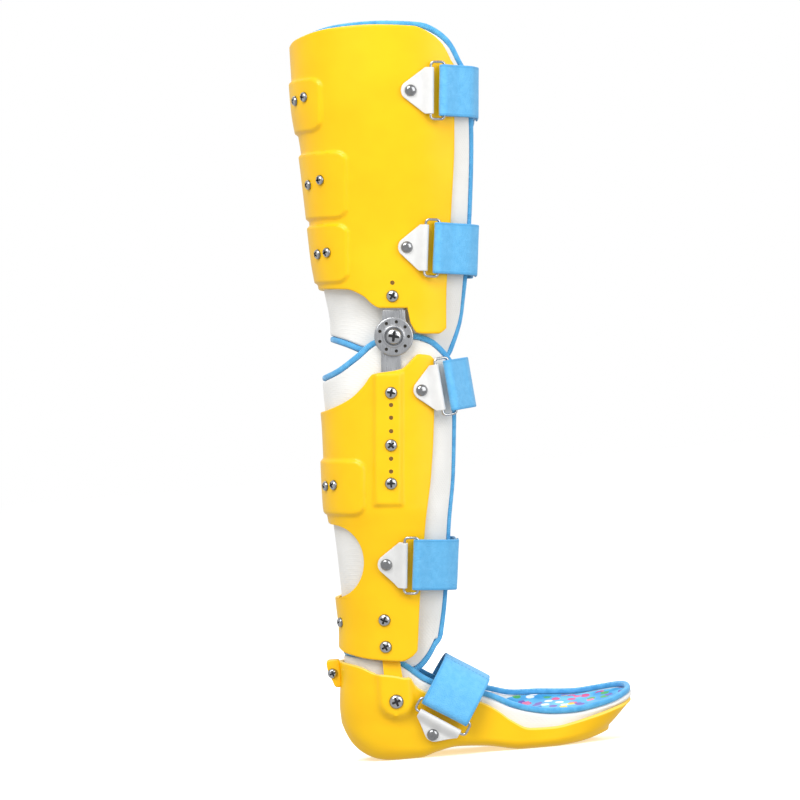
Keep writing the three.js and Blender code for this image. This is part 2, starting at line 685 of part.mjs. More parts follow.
// Screws, rivets and pivots
const facing = (x, y, z, side) =>
  new THREE.Matrix4()
    .makeBasis(new THREE.Vector3(-side, 0, 0), new THREE.Vector3(0, 0, 1), new THREE.Vector3(0, side, 0))
    .setPosition(x, y, z);
const screw = (name, matrix, radius) =>
  add(leg, name, place(dome(radius, SCREW.height), matrix), MATERIALS.steel);
THIGH_PADS.flatMap((pad) => pad.screws).forEach(({ x, z }, i) => {
  screw("thigh_screw_" + (i + 1), seat(thighCast, x, z, SHELL + PAD.rise + GAP), SCREW.small);
});
CALF_PADS.flatMap((pad) => pad.screws).forEach(({ x, z }, i) => {
  screw("calf_screw_" + (i + 1), seat(calfCast, x, z, SHELL + PAD.rise + GAP), SCREW.small);
});
RIB_SCREWS.forEach(({ z }, i) => {
  screw("bar_screw_" + (i + 1), facing(RIB_AXIS, -RIB.face - GAP, z, -1), SCREW.radius);
});
const onThigh = ({ x, z }) => seat(thighCast, x, z, SHELL + GAP);
const onCalf = ({ x, z }) => seat(calfCast, x, z, SHELL + 3 * GAP);
screw("knee_screw_upper", onThigh(UPPER_BAR_SCREW), SCREW.radius);
screw("calf_back_screw", onCalf(CALF_BACK_SCREW), SCREW.small);
ANKLE_SCREWS.forEach((spot, i) => screw("ankle_screw_" + (i + 1), onCalf(spot), SCREW.radius));

// A pivot: a domed head over a round shank.
function pivot({ radius, height }, shank, length) {
  const stem = [[0, -length], [shank, -length], [shank, 0]];
  const head = PIN_PROFILE.map(({ r, h }) => [radius * r, height * h]);
  const points = [...stem, ...head].map(([r, y]) => new THREE.Vector2(r, y));
  return new THREE.LatheGeometry(points, 12).rotateX(Math.PI / 2);
}
SIDES.forEach(({ side, tail }) => {
  const face = BAR_FACE.dial + BAR.thick + GAP;
  const pin = pivot(KNEE_PIN, DIAL.bore - GAP, face - BAR_FACE.lower - GAP);
  add(leg, "knee_pivot" + tail, place(pin, facing(KNEE.x, side * face, KNEE.z, side)), MATERIALS.steel);
});

// Straps with their tabs, rings and rivets. A tab's own frame has x towards the ring, y along
// the ring and z outwards, with its origin half way from the tip to the ring.
function tabSolid(length) {
  const [near, far] = [-length / 2, length / 2];
  const profile = new THREE.Shape();
  profile.moveTo(near, 0);
  profile.lineTo(far, RING.height - TAB.barrel);
  profile.absarc(far, RING.height, TAB.barrel, -Math.PI / 2, Math.PI / 2);
  profile.lineTo(far - TAB.flare, TAB.thick);
  profile.lineTo(near, TAB.thick);
  profile.closePath();
  profile.holes.push(new THREE.Path().absarc(far, RING.height, TAB.bore, 0, 2 * Math.PI));
  const options = { depth: 2 * TAB.half, bevelEnabled: false, curveSegments: 5 };
  const folded = new THREE.ExtrudeGeometry(profile, options).rotateX(Math.PI / 2);
  folded.translate(0, TAB.half, 0);
  const outline = new THREE.Shape();
  outline.moveTo(far + TAB.margin, -TAB.half);
  outline.lineTo(far + TAB.margin, TAB.half);
  outline.lineTo(far - TAB.margin, TAB.half);
  outline.lineTo(near + TAB.nose, TAB.tip);
  outline.quadraticCurveTo(near - 1, 0, near + TAB.nose, -TAB.tip);
  outline.lineTo(far - TAB.margin, -TAB.half);
  outline.closePath();
  const depth = 3 * TAB.margin;
  const blank = new THREE.ExtrudeGeometry(outline, { depth, bevelEnabled: false, curveSegments: 4 });
  blank.translate(0, 0, -TAB.margin);
  return solidOf(folded).intersect(solidOf(blank));
}

function ringTube(length) {
  const [near, far] = [length / 2, length / 2 + RING.depth];
  const r = RING.corner;
  const corner = (x, y, start) =>
    [0, 0.5, 1].map((t) => {
      const turn = start + (t * Math.PI) / 2;
      return new THREE.Vector3(x + r * Math.cos(turn), y + r * Math.sin(turn), RING.height);
    });
  const points = [
    ...corner(far - r, RING.half - r, 0),
    ...corner(near + r, RING.half - r, Math.PI / 2),
    ...corner(near + r, r - RING.half, Math.PI),
    ...corner(far - r, r - RING.half, 1.5 * Math.PI),
  ];
  return ovalTube(points, points.map(() => new THREE.Vector3(0, 0, 1)), WIRE, WIRE, 0, 6);
}

// A band of even thickness along a flat run of points, extruded to the webbing's width.
function band(run, width) {
  const half = WEBBING.thick / 2;
  const side = (sign) =>
    run.map((p, i) => {
      const before = run[Math.max(i - 1, 0)];
      const after = run[Math.min(i + 1, run.length - 1)];
      const way = after.clone().sub(before).normalize();
      return new THREE.Vector2(p.x - sign * half * way.y, p.y + sign * half * way.x);
    });
  const shape = new THREE.Shape([...side(1), ...side(-1).reverse()]);
  const made = new THREE.ExtrudeGeometry(shape, { depth: width, bevelEnabled: false });
  return made.translate(0, 0, -width / 2);
}

// The fold of a strap round a wire: a half turn that starts on the outer side.
const foldRound = (wire, forward, outward) =>
  spread(7).map((t) =>
    wire
      .clone()
      .addScaledVector(outward, FOLD * Math.cos(t * Math.PI))
      .addScaledVector(forward, -FOLD * Math.sin(t * Math.PI)),
  );

function addFittings(parent, name, length, frame) {
  add(parent, name + "_tab", geometryOf(tabSolid(length)).applyMatrix4(frame), MATERIALS.tab);
  add(parent, name + "_ring", place(ringTube(length), frame), MATERIALS.steel);
  const rivet = dome(TAB_RIVET.radius, SCREW.height);
  rivet.translate(TAB_RIVET.share * length, 0, TAB.thick + GAP);
  add(parent, name + "_rivet", place(rivet, frame), MATERIALS.steel);
}

// Points at even steps along a flat run, from one distance to another, moved out sideways.
function stepsAlong(run, from, to, count, out) {
  const lengths = run.slice(1).map((p, i) => p.distanceTo(run[i]));
  return spread(count).map((t) => {
    let rest = from + (to - from) * t;
    let i = 0;
    while (i < lengths.length - 1 && rest > lengths[i]) rest -= lengths[i++];
    const way = run[i + 1].clone().sub(run[i]).normalize();
    const spot = run[i].clone().addScaledVector(way, rest);
    return spot.add(new THREE.Vector2(way.y, -way.x).multiplyScalar(out));
  });
}

function addStrap(surface, front, { name, z, tip, ring, tilt, lap }) {
  const pivotPoint = new THREE.Vector3(ring, 0, z);
  const tilted = new THREE.Matrix4()
    .makeTranslation(pivotPoint)
    .multiply(new THREE.Matrix4().makeRotationY(tilt))
    .multiply(new THREE.Matrix4().makeTranslation(pivotPoint.clone().negate()));
  const span = WEBBING.width / 2;
  const frame = seat(surface, (tip + ring) / 2, z, SHELL + GAP, span);
  const length = ring - tip;
  addFittings(leg, name, length, tilted.clone().multiply(frame));

  // The band leaves the ring along the shell, turns over the liner's edge and crosses the front.
  const flat = (v) => new THREE.Vector2(v.x, v.y);
  const wire = flat(new THREE.Vector3(length / 2 + RING.depth, 0, RING.height).applyMatrix4(frame));
  const forward = flat(new THREE.Vector3().setFromMatrixColumn(frame, 0)).normalize();
  const outward = new THREE.Vector2(forward.y, -forward.x);
  const wide = (height) => -surface(Math.PI / 2, height, SHELL).y;
  const taper = (wide(z + span) - wide(z - span)) / (2 * span) / Math.abs(wire.y);
  const bow = Math.max((wide(z + span) + wide(z - span)) / 2 - wide(z), 0);
  const lower = SHELL + STRAP_RUN.clear + bow + WEBBING.thick / 2;
  const start = angleAt(surface, wire.x + STRAP_RUN.start, z, lower);
  const turn = Math.max(front(z), start + STRAP_RUN.turn);
  const outerSide = spread(7).map((t) => flat(surface(THREE.MathUtils.lerp(start, turn, t), z, lower)));
  const crossing = outerSide[6].clone();
  crossing.x += STRAP_RUN.bow;
  crossing.y *= STRAP_RUN.crossing;
  const mirrored = (p) => new THREE.Vector2(p.x, -p.y);
  const end = angleAt(surface, ring, z, lower);
  const innerSide = spread(7)
    .map((t) => flat(surface(THREE.MathUtils.lerp(turn, end, t), z, lower)))
    .map(mirrored);
  const base = [...outerSide, crossing, mirrored(crossing), ...innerSide];
  const run = [
    ...stepsAlong(base, lap, 1, 8, WEBBING.thick + GAP),
    ...foldRound(wire, forward, outward),
    ...base,
  ];
  const middle = (surface(0, z).x + surface(Math.PI, z).x) / 2;
  const strap = band(run, WEBBING.width);
  const position = strap.attributes.position;
  for (let i = 0; i < position.count; i += 1) {
    const grow = taper * position.getZ(i);
    position.setX(i, middle + (position.getX(i) - middle) * (1 + STRAP_RUN.taper * grow));
    position.setY(i, position.getY(i) * (1 + grow));
  }
  add(leg, name, place(strap.translate(0, 0, z), tilted), MATERIALS.webbing);
}
const thighEdge = frontEdge(thighCast, THIGH_FRONT, "binding");
const calfEdge = frontEdge(calfCast, CALF_FRONT, "binding");
STRAPS.slice(0, 2).forEach((row) => addStrap(thighCast, thighEdge, row));
STRAPS.slice(2).forEach((row) => addStrap(calfCast, calfEdge, row));

// Foot shell, liner, insole and binding
const footWall = Object.fromEntries(
  ["back", "heel", "toe"].map((name) => [name, curveOf(FOOT_WALL, "z", name)]),
);
const footHalf = { "-1": curveOf(FOOT_HALF, "x", "outer"), 1: curveOf(FOOT_HALF, "x", "inner") };
const sole = curveOf(SOLE, "x", "z");
const rimOf = (name) => curveOf(FOOT_RIM, "x", name);
// The forefoot is banked: its inner side lies higher than its outer side.
const bank = (x, aside) => BANK.rise * blend(x, BANK.start, BANK.full) * (0.5 + 0.5 * aside);
const middleLine = (x) => TOE_OUT.slope * Math.max(x - TOE_OUT.start, 0);

// Half-width of the foot at x and a height, drawn in by an inset.
function footReach(x, z, side, inset) {
  const [back, toe] = [footWall.back(z) + inset, footWall.toe(z) - inset];
  const heel = footWall.heel(z) - inset;
  const round = (share) => Math.max(1 - share ** SECTION_POWER, 0) ** (1 / SECTION_POWER);
  if (x < 0) return heel * round(Math.min(x / back, 1));
  const fore = blend(x, HEEL_BLEND.start, HEEL_BLEND.end);
  const plain = THREE.MathUtils.lerp(heel, footHalf[side](x) - inset, fore);
  return plain * round(THREE.MathUtils.clamp((x - toe + TOE_ROUND) / TOE_ROUND, 0, 1));
}

// A point of a foot wall: station along the foot, side, level, and the wall's floor and rim.
function footPoint(station, side, level, { inset, floor, rim, banked }) {
  const share = (1 - Math.cos(Math.PI * station)) / 2;
  const spotAt = (z) =>
    THREE.MathUtils.lerp(footWall.back(z) + inset, footWall.toe(z) - inset, share);
  let [x, z, width, rise] = [spotAt(floor(0)), 0, 0, 0];
  for (let pass = 0; pass < 8; pass += 1) {
    x = (x + spotAt(rise)) / 2;
    width = level.across * footReach(x, rise, side, inset);
    const tilt = bank(x, (side * width) / BANK.half);
    const base = floor(x) + (banked ? tilt : 0);
    const top = rim(x) + tilt;
    const lift = Math.min(SOLE_ROUND, 0.5 * (top - base)) * level.lift;
    z = base + lift + (top - base - lift) * level.climb;
    rise = Math.max(z, base + SHELL) - tilt;
  }
  return new THREE.Vector3(x, middleLine(x) + side * width, z);
}

const footStops = [
  ...spread(FOOT_STATIONS).map((station) => [station, -1]),
  ...spread(FOOT_STATIONS).slice(1, -1).reverse().map((station) => [station, 1]),
];

// A cut across the foot at each stop: the outer face out to the rim and the inner face back.
function footRings(outer, inner, levels) {
  return footStops.map(([station, side]) => {
    const face = (form) => levels.map((level) => footPoint(station, side, level, form));
    return [...face(outer), ...face(inner).reverse()];
  });
}

// A dish closes on its middle line, so its rings are left open there.
function dish(rings) {
  const size = rings[0].length;
  const geometry = skin(rings, true);
  const index = Array.from(geometry.index.array);
  const closing = (v) => v % size === 0 || v % size === size - 1;
  const kept = [];
  for (let i = 0; i < index.length; i += 3) {
    const corner = index.slice(i, i + 3);
    if (!corner.every(closing)) kept.push(...corner);
  }
  geometry.setIndex(kept);
  return solidOf(geometry);
}

const bed = rimOf("bed");
const forms = {
  shellOut: { inset: 0, floor: (x) => sole(x), rim: rimOf("shell") },
  shellIn: { inset: SHELL, floor: (x) => sole(x) + SHELL, rim: rimOf("shell") },
  linerOut: {
    inset: SHELL + FOOT_CLEAR.wall,
    floor: (x) => sole(x) + SHELL + FOOT_CLEAR.floor,
    rim: rimOf("liner"),
  },
  linerIn: { inset: SHELL + FOOT_CLEAR.wall + LINER, floor: bed, rim: rimOf("liner"), banked: true },
};
let footShell = dish(footRings(forms.shellOut, forms.shellIn, FOOT_LEVELS));
const ankleBoss = new THREE.Shape().absarc(0, ANKLE_HEIGHT, BOSS.radius, Math.PI, 2 * Math.PI);
ankleBoss.lineTo(BOSS.radius, BOSS.top).lineTo(-BOSS.radius, BOSS.top).closePath();
const strutSlot = new THREE.Shape().absarc(0, ANKLE_HEIGHT, STRUT_SLOT.radius, Math.PI, 2 * Math.PI);
strutSlot.lineTo(STRUT_SLOT.front, STRUT_SLOT.top).lineTo(STRUT_SLOT.back, STRUT_SLOT.top).closePath();
const linerSide = footWall.heel(BOSS.top) - SHELL - 2 * GAP;
const strutOuter = STRUT.inner + STRUT.thick;
SIDES.forEach(({ side }) => {
  footShell = footShell
    .add(solidOf(plate(ankleBoss, linerSide, BOSS.face - linerSide, side, 8)))
    .subtract(solidOf(plate(strutSlot, ANKLE_CUT.near, strutOuter + GAP - ANKLE_CUT.near, side, 6)))
    .subtract(plug(0, ANKLE_HEIGHT, DIAL.bore, side, ANKLE_CUT));
});
const lugShape = new THREE.Shape();
lugShape.moveTo(LUG.front, LUG.top).lineTo(LUG.back, LUG.top).lineTo(LUG.back, LUG.shelf);
lugShape.lineTo(LUG.root, LUG.foot).lineTo(LUG.front, LUG.foot).closePath();
footShell = footShell.add(solidOf(plate(lugShape, -LUG.half, 2 * LUG.half, 1)));
add(group, "foot_shell", footShell, MATERIALS.plastic);
add(group, "foot_liner", dish(footRings(forms.linerOut, forms.linerIn, FOOT_LEVELS)), MATERIALS.foam);

const insoleAt = (lift) => ({
  ...forms.linerIn,
  inset: forms.linerIn.inset + INSOLE.clear,
  floor: (x) => bed(x) + lift,
});
const insoleLevels = [0, 0.5, 1].map((share) => ({ across: share * INSOLE.across, lift: 0, climb: 0 }));
const insole = dish(footRings(insoleAt(INSOLE.lift), insoleAt(INSOLE.lift + INSOLE.thick), insoleLevels));
add(group, "insole", insole, MATERIALS.insole);

const rimLevel = FOOT_LEVELS[FOOT_LEVELS.length - 1];
const rimEnds = footStops.map(([station, side]) => {
  const ends = [forms.linerOut, forms.linerIn].map((form) => footPoint(station, side, rimLevel, form));
  return { middle: ends[0].clone().lerp(ends[1], 0.5), inward: ends[1].clone().sub(ends[0]).normalize() };
});
const rimMiddles = rimEnds.map(({ middle }) => middle);
const rimInwards = rimEnds.map(({ inward }) => inward);
const footBead = ovalTube(rimMiddles, rimInwards, BEAD.width / 2, BEAD.half, BEAD.width / 2 + GAP, 6);
add(group, "foot_binding", footBead, MATERIALS.binding);

// Ankle struts and their pivots
SIDES.forEach(({ side, tail }) => {
  const half = STRUT.width / 2;
  const blade = new THREE.Shape().absarc(0, 0, half, Math.PI, 2 * Math.PI);
  blade.lineTo(STRUT.topX + half, STRUT.topZ).lineTo(STRUT.topX - half, STRUT.topZ).closePath();
  const strut = solidOf(plate(blade, STRUT.inner, STRUT.thick, side, 6));
  add(leg, "ankle_strut" + tail, strut.subtract(plug(0, 0, DIAL.bore, side, ANKLE_CUT)), MATERIALS.plastic);
  const face = BOSS.face + GAP;
  const pin = pivot(ANKLE_PIN, DIAL.bore - GAP, face - STRUT.inner - GAP);
  const where = facing(0, side * face, ANKLE_HEIGHT, side);
  add(group, "ankle_pivot" + tail, place(pin, where), MATERIALS.steel);
});
const heelScrew = facing(HEEL_SCREW.x, -LUG.half - GAP, HEEL_SCREW.z, -1);
add(group, "heel_screw", place(dome(SCREW.small, SCREW.height), heelScrew), MATERIALS.steel);

// Instep strap: its tab hangs on the outer wall and the band arches over to the inner wall
const wallAt = (x, z, side, out) =>
  new THREE.Vector3(x, middleLine(x) + side * (footReach(x, z, side, 0) + out), z);
const runWay = new THREE.Vector3(Math.sin(INSTEP.lean), 0, Math.cos(INSTEP.lean));
const ringWay = new THREE.Vector3(-Math.cos(INSTEP.lean), 0, Math.sin(INSTEP.lean));
const tabEnds = [
  wallAt(INSTEP.x - INSTEP.tab * runWay.x, INSTEP.z - INSTEP.tab * runWay.z, -1, INSTEP.clear),
  wallAt(INSTEP.x, INSTEP.z, -1, INSTEP.clear),
];
const tabWay = tabEnds[1].clone().sub(tabEnds[0]);
const tabLength = tabWay.length();
tabWay.normalize();
const tabOut = tabWay.clone().cross(ringWay).normalize();
const tabFrame = new THREE.Matrix4()
  .makeBasis(tabWay, tabOut.clone().cross(tabWay), tabOut)
  .setPosition(tabEnds[0].clone().lerp(tabEnds[1], 0.5));
addFittings(group, "strap_5", tabLength, tabFrame);

const strapWire = new THREE.Vector3(tabLength / 2 + RING.depth, 0, RING.height).applyMatrix4(tabFrame);
const archFrame = new THREE.Matrix4()
  .makeBasis(new THREE.Vector3(0, 1, 0), runWay, ringWay.clone().negate())
  .setPosition(strapWire.x, 0, strapWire.z);
const wireFlat = new THREE.Vector2(strapWire.y, 0);
const wayFlat = new THREE.Vector2(tabWay.y, tabWay.dot(runWay)).normalize();
const outFlat = new THREE.Vector2(-wayFlat.y, wayFlat.x);
const innerFoot = wallAt(strapWire.x, strapWire.z, 1, INSTEP.seat).y;
const archHalf = (innerFoot - strapWire.y) / 2;
const archMiddle = (innerFoot + strapWire.y) / 2;
const arch = (turn, out) =>
  new THREE.Vector2(
    archMiddle - (archHalf + out) * power(Math.cos(turn), ARCH.roundness),
    (ARCH.crest + out) * power(Math.sin(turn), ARCH.roundness),
  );
const archRun = [
  ...spread(6).map((t) => arch(THREE.MathUtils.lerp(ARCH.lapStart, ARCH.lapEnd, t), WEBBING.thick + GAP)),
  ...foldRound(wireFlat, wayFlat, outFlat),
  ...spread(13).map((t) => arch(THREE.MathUtils.lerp(ARCH.start, Math.PI, t), 0)),
  new THREE.Vector2(innerFoot, -INSTEP.tail),
];
add(group, "strap_5", place(band(archRun, WEBBING.width), archFrame), MATERIALS.webbing);

export default group;
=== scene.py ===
import bpy
import bmesh
import numpy as np
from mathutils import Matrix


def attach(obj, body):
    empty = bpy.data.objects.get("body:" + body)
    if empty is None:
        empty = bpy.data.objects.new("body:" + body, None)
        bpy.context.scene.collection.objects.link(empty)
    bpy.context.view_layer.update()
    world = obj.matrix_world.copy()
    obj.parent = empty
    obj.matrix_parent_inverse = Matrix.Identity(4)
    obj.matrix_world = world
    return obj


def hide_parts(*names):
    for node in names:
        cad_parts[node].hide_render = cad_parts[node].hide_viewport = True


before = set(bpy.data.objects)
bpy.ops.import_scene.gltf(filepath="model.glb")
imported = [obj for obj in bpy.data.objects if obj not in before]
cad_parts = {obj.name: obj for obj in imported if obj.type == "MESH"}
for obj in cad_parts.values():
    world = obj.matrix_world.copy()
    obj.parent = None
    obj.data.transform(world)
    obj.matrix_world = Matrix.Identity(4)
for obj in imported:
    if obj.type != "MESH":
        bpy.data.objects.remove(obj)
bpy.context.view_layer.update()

# Foot shell
# A dish of yellow polypropylene, drawn hot over a cast of the foot and trimmed low round the
# forefoot. It bulges over the ankle struts and carries a lug behind the heel.
ANKLE_HEIGHT = 45.0
SHELL, LINER = 3.0, 4.0
ROUNDNESS = 2.4
WALL = [  # height, back of the heel, half-width of the heel, tip of the toe
    (0, -34, 30, 153.5), (5, -35.5, 31, 158.5), (12, -38, 32, 166), (21, -41, 33.5, 175),
    (27, -42.5, 34, 182), (40, -43.5, 36, 182.5), (52, -42.5, 37.3, 182.5), (64, -41, 37.3, 182.5),
    (92, -41, 37.3, 182.5),
]
HALF_WIDTH = [(40, 31, 30), (75, 33, 32), (110, 37, 38), (140, 34, 36)]  # x, outer, inner
SOLE = [  # x, height of the underside
    (-48, 40), (-43, 30), (-40.5, 23), (-36, 14.5), (-30, 8.2), (-23.7, 4.2), (-17, 1.6), (-10, 0.3),
    (-4, 0), (14, 0), (27, 3.4), (42, 6), (64, 4.6), (92, 0), (116, 0), (134, 1.2), (156, 6.5),
    (166, 11), (190, 22),
]
RIM = [  # x, rim of the shell, rim of the liner, bed of the liner
    (-48, 79, 82.5, 10.5), (-36, 76, 81, 9), (-26, 73, 79.5, 8), (-14, 67, 77, 8), (4, 63, 71, 8.5),
    (22, 50, 57, 12), (40, 43.5, 48.5, 15), (56, 41, 45, 16.5), (66, 37, 41.5, 17.5), (76, 30, 36.5, 18),
    (84, 23, 32, 18.5), (98, 15.5, 27, 18.5), (116, 15, 23.5, 18.5), (134, 17, 22.5, 18.5),
    (160, 21.5, 25.5, 21), (186, 25.5, 32, 26.5),
]
TURN_OUT, ARCH = 0.05, 20.0
BANK_RISE, BANK_SPAN, FOREFOOT_HALF, FORE_SPAN, TOE_LENGTH = 12.0, (52, 116), 37.0, (24, 70), 48.0
HEEL_CORNER, FOOT_CORNER, CORNER_SPAN, FLAT_SHARE = 13.0, 7.0, (-20, 30), 0.72
PASSES = 40
MILLIMETRE, SEW, SLIVER = 0.001, 2e-6, 1e-7  # in metres


def curve_through(rows, column=1):
    """A curve through a table's rows that never overshoots: cubic pieces whose slope at each row
    is the harmonic mean of the slopes beside it, or nothing where the run turns."""
    x, y = np.array(rows, float)[:, [0, column]].T
    step = np.diff(x)
    slope = np.diff(y) / step
    a, b = slope[:-1], slope[1:]
    same = a * b > 0
    inner = np.where(same, 2 * a * b / np.where(same, a + b, 1), 0)
    tangent = np.concatenate([slope[:1], inner, slope[-1:]])

    def curve(value):
        v = np.clip(value, x[0], x[-1])
        i = np.clip(np.searchsorted(x, v, side="right") - 1, 0, len(step) - 1)
        t = (v - x[i]) / step[i]
        near = (1 + 2 * t) * (1 - t) ** 2 * y[i] + t * (1 - t) ** 2 * step[i] * tangent[i]
        return near + t * t * (3 - 2 * t) * y[i + 1] + t * t * (t - 1) * step[i] * tangent[i + 1]

    return curve


def ease(value, low, high):
    """Smooth step: 0 below low, 1 above high, 3t^2 - 2t^3 between them."""
    t = np.clip((np.asarray(value, float) - low) / (high - low), 0, 1)
    return t * t * (3 - 2 * t)


wall_back, wall_heel, wall_toe = (curve_through(WALL, k) for k in (1, 2, 3))
half_outer, half_inner = (curve_through(HALF_WIDTH, k) for k in (1, 2))
sole_height = curve_through(SOLE)
rim_shell, rim_liner, flat_bed = (curve_through(RIM, k) for k in (1, 2, 3))


def bed_height(x):
    """The liner's bed, which curls up with the shell behind the heel."""
    return np.maximum(flat_bed(x), sole_height(x) + SHELL + LINER)


def middle_line(x):
    """The foot's middle line turns out by a twentieth ahead of the arch."""
    return TURN_OUT * np.maximum(x - ARCH, 0)


def bank(x, aside):
    """The forefoot's inner side lies up to 12 mm higher than its outer side."""
    return BANK_RISE * ease(x, *BANK_SPAN) * (0.5 + 0.5 * aside)


def foot_reach(x, z, side, inset):
    """Half-width of the foot: a superellipse round the heel, eased into the forefoot's own
    half-width and closed by a superellipse round the toe."""
    back, toe, heel = wall_back(z) + inset, wall_toe(z) - inset, wall_heel(z) - inset

    def rounded(share):
        return np.maximum(1 - np.clip(share, 0, 1) ** ROUNDNESS, 0) ** (1 / ROUNDNESS)

    fore = np.where(side < 0, half_outer(x), half_inner(x)) - inset
    plain = heel + (fore - heel) * ease(x, *FORE_SPAN)
    return np.where(x < 0, heel * rounded(x / back), plain * rounded((x - toe) / TOE_LENGTH + 1))


def foot_points(station, side, across, lift, climb, inset, floor, rim, banked=False):
    """Points of a foot wall: x from the station's share of the length at that height, y from the
    share of the half-width, z from the floor round the corner and up to the rim. Each depends on
    the others, so repeated passes settle them."""
    station, side, across, lift, climb = np.broadcast_arrays(station, side, across, lift, climb)
    share = (1 - np.cos(np.pi * station)) / 2

    def spot(z):
        return wall_back(z) + inset + (wall_toe(z) - wall_back(z) - 2 * inset) * share

    x, rise = spot(floor(0.0) + 0 * share), 0 * share
    for _ in range(PASSES):
        x = (x + spot(rise)) / 2
        width = across * foot_reach(x, rise, side, inset) * (share > 0) * (share < 1)
        tilt = bank(x, side * width / FOREFOOT_HALF)
        base = floor(x) + tilt * banked
        top = rim(x) + tilt
        corner = HEEL_CORNER + (FOOT_CORNER - HEEL_CORNER) * ease(x, *CORNER_SPAN)
        lifted = np.minimum(corner, 0.5 * (top - base)) * lift
        z = base + lifted + (top - base - lifted) * climb
        rise = np.maximum(z, base + SHELL) - tilt
    return np.stack([x, middle_line(x) + side * width, z], -1)


# Stops round the foot, out along its outer side and back along its inner side, and levels from the
# middle of the sole out, round its edge and up to the rim.
STATIONS = np.linspace(0, 1, 121)
STOP = np.concatenate([STATIONS, STATIONS[::-1]])[:, None]
SIDE = np.repeat([-1.0, 1.0], len(STATIONS))[:, None]
TURN = np.linspace(0, np.pi / 2, 9)[1:]
ACROSS = np.concatenate([
    np.linspace(0, FLAT_SHARE, 13), FLAT_SHARE + (1 - FLAT_SHARE) * np.sin(TURN), np.ones(20)
])
LIFT = np.concatenate([np.zeros(13), 1 - np.cos(TURN), np.ones(20)])
CLIMB = np.concatenate([np.zeros(21), np.linspace(0, 1, 21)[1:]])
FACE = (STOP, SIDE, ACROSS, LIFT, CLIMB)
RIM_STEPS = 7


def dish_rings(outer, inner):
    """A dish's outer face, half a turn over its rim as high as half the wall, and its inner face."""
    a, b = outer[:, -1:], inner[:, -1:]
    turn = np.linspace(0, np.pi, RIM_STEPS + 2)[1:-1][None, :, None]
    half = np.linalg.norm(a - b, axis=-1, keepdims=True) / 2
    rim = (a + b) / 2 + (a - b) / 2 * np.cos(turn) + np.array([0, 0, 1]) * half * np.sin(turn)
    return np.concatenate([outer, rim, inner[:, ::-1]], 1)


def grid_quads(rows, columns):
    """The quads of a grid of points, numbered row by row."""
    a, b = np.meshgrid(np.arange(rows - 1), np.arange(columns - 1), indexing="ij")
    first = (a * columns + b).ravel()
    return np.stack([first, first + columns, first + columns + 1, first + 1], -1)


def make_piece(name, patches, material, body, nodes, sharp=50):
    """One mesh from grids of points in millimetres, each (points, uv, quads kept). The grids are
    sewn where their edges meet, turned to face outwards, and shaded smooth up to the sharp angle."""
    points, uvs, quads, start = [], [], [], 0
    for grid, uv, kept in patches:
        rows, columns = grid.shape[:2]
        faces = grid_quads(rows, columns)
        quads.append(start + (faces if kept is None else faces[kept.ravel()]))
        points.append(grid.reshape(-1, 3))
        uvs.append(np.zeros((rows * columns, 2)) if uv is None else uv.reshape(-1, 2))
        start += rows * columns
    points, uvs, quads = (np.concatenate(part) for part in (points, uvs, quads))
    mesh = bpy.data.meshes.new(name)
    mesh.from_pydata(points * MILLIMETRE, [], quads)
    corner = np.empty(len(mesh.loops), int)
    mesh.loops.foreach_get("vertex_index", corner)
    mesh.uv_layers.new(name="surface").data.foreach_set("uv", uvs[corner].ravel())
    sewn = bmesh.new()
    sewn.from_mesh(mesh)
    bmesh.ops.remove_doubles(sewn, verts=sewn.verts, dist=SEW)
    bmesh.ops.dissolve_degenerate(sewn, dist=SLIVER, edges=sewn.edges)
    bmesh.ops.recalc_face_normals(sewn, faces=sewn.faces)
    sewn.to_mesh(mesh)
    sewn.free()
    mesh.polygons.foreach_set("use_smooth", np.ones(len(mesh.polygons), bool))
    mesh.set_sharp_from_angle(angle=np.radians(sharp))
    mesh.materials.append(material)
    obj = bpy.data.objects.new(name, mesh)
    bpy.context.collection.objects.link(obj)
    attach(obj, body)
    if nodes:
        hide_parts(*nodes)
    return obj


def linear(code):
    """An sRGB hex colour as linear red, green, blue and alpha."""
    c = np.array([int(code[k:k + 2], 16) for k in (1, 3, 5)]) / 255
    return (*np.where(c <= 0.04045, c / 12.92, ((c + 0.055) / 1.055) ** 2.4), 1.0)


def feed(tree, node, inputs):
    """Inputs of a node, by order or name, each linked to another output or set to a plain value."""
    for key, value in inputs.items():
        socket = node.inputs[key.replace("_", " ") if isinstance(key, str) else key]
        if isinstance(value, bpy.types.NodeSocket):
            tree.links.new(value, socket)
        else:
            socket.default_value = value


def add_node(tree, kind, out, *inputs, **named):
    """One output of a new shader node: inputs in order, then settings and other inputs by name."""
    made = tree.nodes.new("ShaderNode" + kind)
    for key in [key for key in named if hasattr(made, key)]:
        setattr(made, key, named.pop(key))
    feed(tree, made, {**dict(enumerate(inputs)), **named})
    return made.outputs[out]


def noise(tree, place, scale, detail, **more):
    """A cloudy value at a scale."""
    return add_node(tree, "TexNoise", "Fac", place, Scale=scale, Detail=detail, **more)


def fitted(tree, value, low, high, to_low, to_high):
    """A value carried from one range to another."""
    return add_node(
        tree, "MapRange", "Result", value, From_Min=low, From_Max=high, To_Min=to_low, To_Max=to_high
    )


def maths(tree, operation, *terms):
    """A sum or test on outputs and plain numbers."""
    return add_node(tree, "Math", 0, *terms, operation=operation)


def ramp(tree, value, codes, spots=(0.0, 1.0), kind="LINEAR"):
    """A ramp of hex colours over a value, each at its own spot."""
    colour = add_node(tree, "ValToRGB", "Color", value)
    colour.node.color_ramp.interpolation = kind
    stops = colour.node.color_ramp.elements
    while len(stops) < len(codes):
        stops.new(0.5)
    for stop, spot, code in zip(stops, spots, codes):
        stop.position = spot
        stop.color = linear(code)
    return colour


